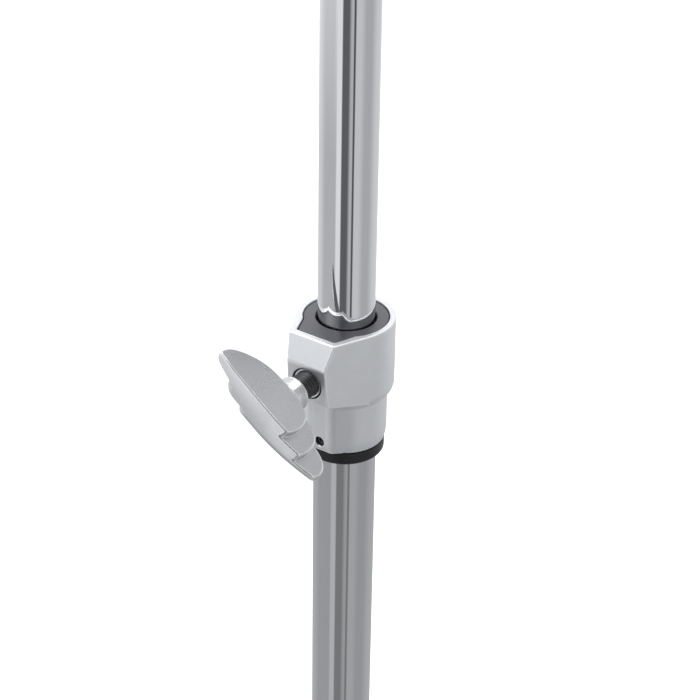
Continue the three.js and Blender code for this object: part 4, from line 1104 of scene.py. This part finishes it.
# What stands round the object: from and to in degrees to the right of the camera, and how bright it is
STUDIO_OBJECTS = [
    (-180, -125, 0.8),  # pale wall behind
    (-100, -50, 0.6),  # grey wall on the left
    (-45, -30, 1.0),  # soft box
    (-26, -4, 0.15),  # black flag
    (5, 12, 0.6),  # grey card by the camera
    (14, 19, 0.1),  # narrow black flag
    (22, 40, 0.75),  # pale card on the right
    (60, 85, 0.55),  # grey wall on the right
    (115, 180, 0.8),  # pale wall behind
]
SURROUND_RADIUS, SURROUND_STEPS = 0.45, 240
HIGH_SHADE = 0.27
surround_levels = [-0.02, 0.08, 0.16, 0.25, 0.4, 0.46, 0.52, 0.56, 0.7, 1.3]


def surround_tone(degrees, height):
    """Dull near the floor. High up it is whiter behind and on the left, and darker on the right."""
    ends = [end for start, stop, _ in STUDIO_OBJECTS for end in (start, stop)]
    tones = [tone for _, _, tone in STUDIO_OBJECTS for _ in range(2)]
    tone = np.interp(degrees, ends, tones)
    low = 0.2 + 0.4 * tone
    tone = np.interp(height, (0.16, 0.25), (low, tone))
    box = np.interp(degrees, (-140, -115, -58, -50, -38, -28, 140, 160), (1, 0.5, 0.5, 1, 1, 0, 0, 1))
    tone = tone + (1 - tone) * box * np.interp(height, (0.4, 0.52), (0, 1))
    shade_side = np.interp(degrees, (40, 65, 135, 155), (0, 1, 1, 0))
    return tone * (1 - HIGH_SHADE * shade_side * np.interp(height, (0.56, 0.7), (0, 1)))


def make_surround():
    """A dish that only reflections see: what stands and lies round the object in the studio."""
    points, tones = [], []
    rings = [(0.02, surround_levels[0])] + [(SURROUND_RADIUS, height) for height in surround_levels]
    for radius, height in rings:
        for i in range(SURROUND_STEPS):
            degrees = i * 360 / SURROUND_STEPS - 180
            points.append(aside(degrees, radius, height))
            tones.append(surround_tone(degrees, height))
    numbers = np.arange(len(points)).reshape(len(rings), SURROUND_STEPS).tolist()
    dish, tree = studio_part("studio_surround", points, bands(numbers, closed=False))
    dish.data.attributes.new("tone", "FLOAT", "POINT").data.foreach_set("value", tones)
    tone = add_node(tree, "Attribute", {"attribute_name": "tone"}).outputs["Fac"]
    glow = add_node(tree, "Emission", Color=(0.97, 0.985, 1, 1), Strength=tone)
    add_node(tree, "OutputMaterial", Surface=glow.outputs[0])
    for ray in ("camera", "diffuse", "shadow", "transmission"):
        setattr(dish, "visible_" + ray, False)


def lamp(name, place, size, watts):
    """A round soft lamp that looks at the lower clamp."""
    light = bpy.data.lights.new(name, "AREA")
    light.shape, light.size, light.energy = "DISK", size, watts
    thing = placed(name, light)
    thing.location = place
    thing.rotation_euler = (centre - Vector(place)).to_track_quat("-Z", "Y").to_euler()


make_floor()
make_world()
centre = Vector((0, 0, lower_rim * MM))
lamp("key", aside(-70, 1.4, 2.2), 0.9, 26)
lamp("fill", aside(75, 2.4, 1.3), 1.6, 10)
lamp("top", (0.2, 0.6, 2.9), 1.8, 16)
lamp("back", aside(180, 1.7, 1.5), 1.4, 18)
make_surround()


# Camera: the photograph's, fitted to both tubes and the clamp's rim


def make_camera():
    """Aims the camera at the lower clamp's rim, then pans, tilts and rolls it as it was fitted."""
    rise = math.cos(VIEW_RISE)
    back = Vector((math.sin(VIEW_TURN) * rise, -math.cos(VIEW_TURN) * rise, math.sin(VIEW_RISE)))
    right = Vector((math.cos(VIEW_TURN), math.sin(VIEW_TURN), 0))
    up = back.cross(right)
    look = Matrix((right, up, back))
    ax, ay = AIM_PIXELS
    a, b = math.atan2(ax, FOCAL_PIXELS), math.atan2(-ay, math.hypot(FOCAL_PIXELS, ax))
    pan = Matrix(((math.cos(a), 0, -math.sin(a)), (0, 1, 0), (math.sin(a), 0, math.cos(a))))
    tilt = Matrix(((1, 0, 0), (0, math.cos(b), -math.sin(b)), (0, math.sin(b), math.cos(b))))
    c, s = math.cos(VIEW_ROLL), math.sin(VIEW_ROLL)
    roll = Matrix(((c, -s, 0), (s, c, 0), (0, 0, 1)))
    camera = bpy.data.cameras.new("camera")
    camera.sensor_width = 36
    camera.lens = FOCAL_PIXELS / PICTURE * camera.sensor_width
    camera.clip_start, camera.clip_end = 0.01, 50
    thing = placed("camera", camera)
    turn = pan @ tilt @ roll @ look
    thing.matrix_world = Matrix.Translation(centre + back * VIEW_DISTANCE) @ turn.transposed().to_4x4()
    bpy.context.scene.camera = thing


make_camera()
bpy.context.scene.view_settings.view_transform = "Standard"
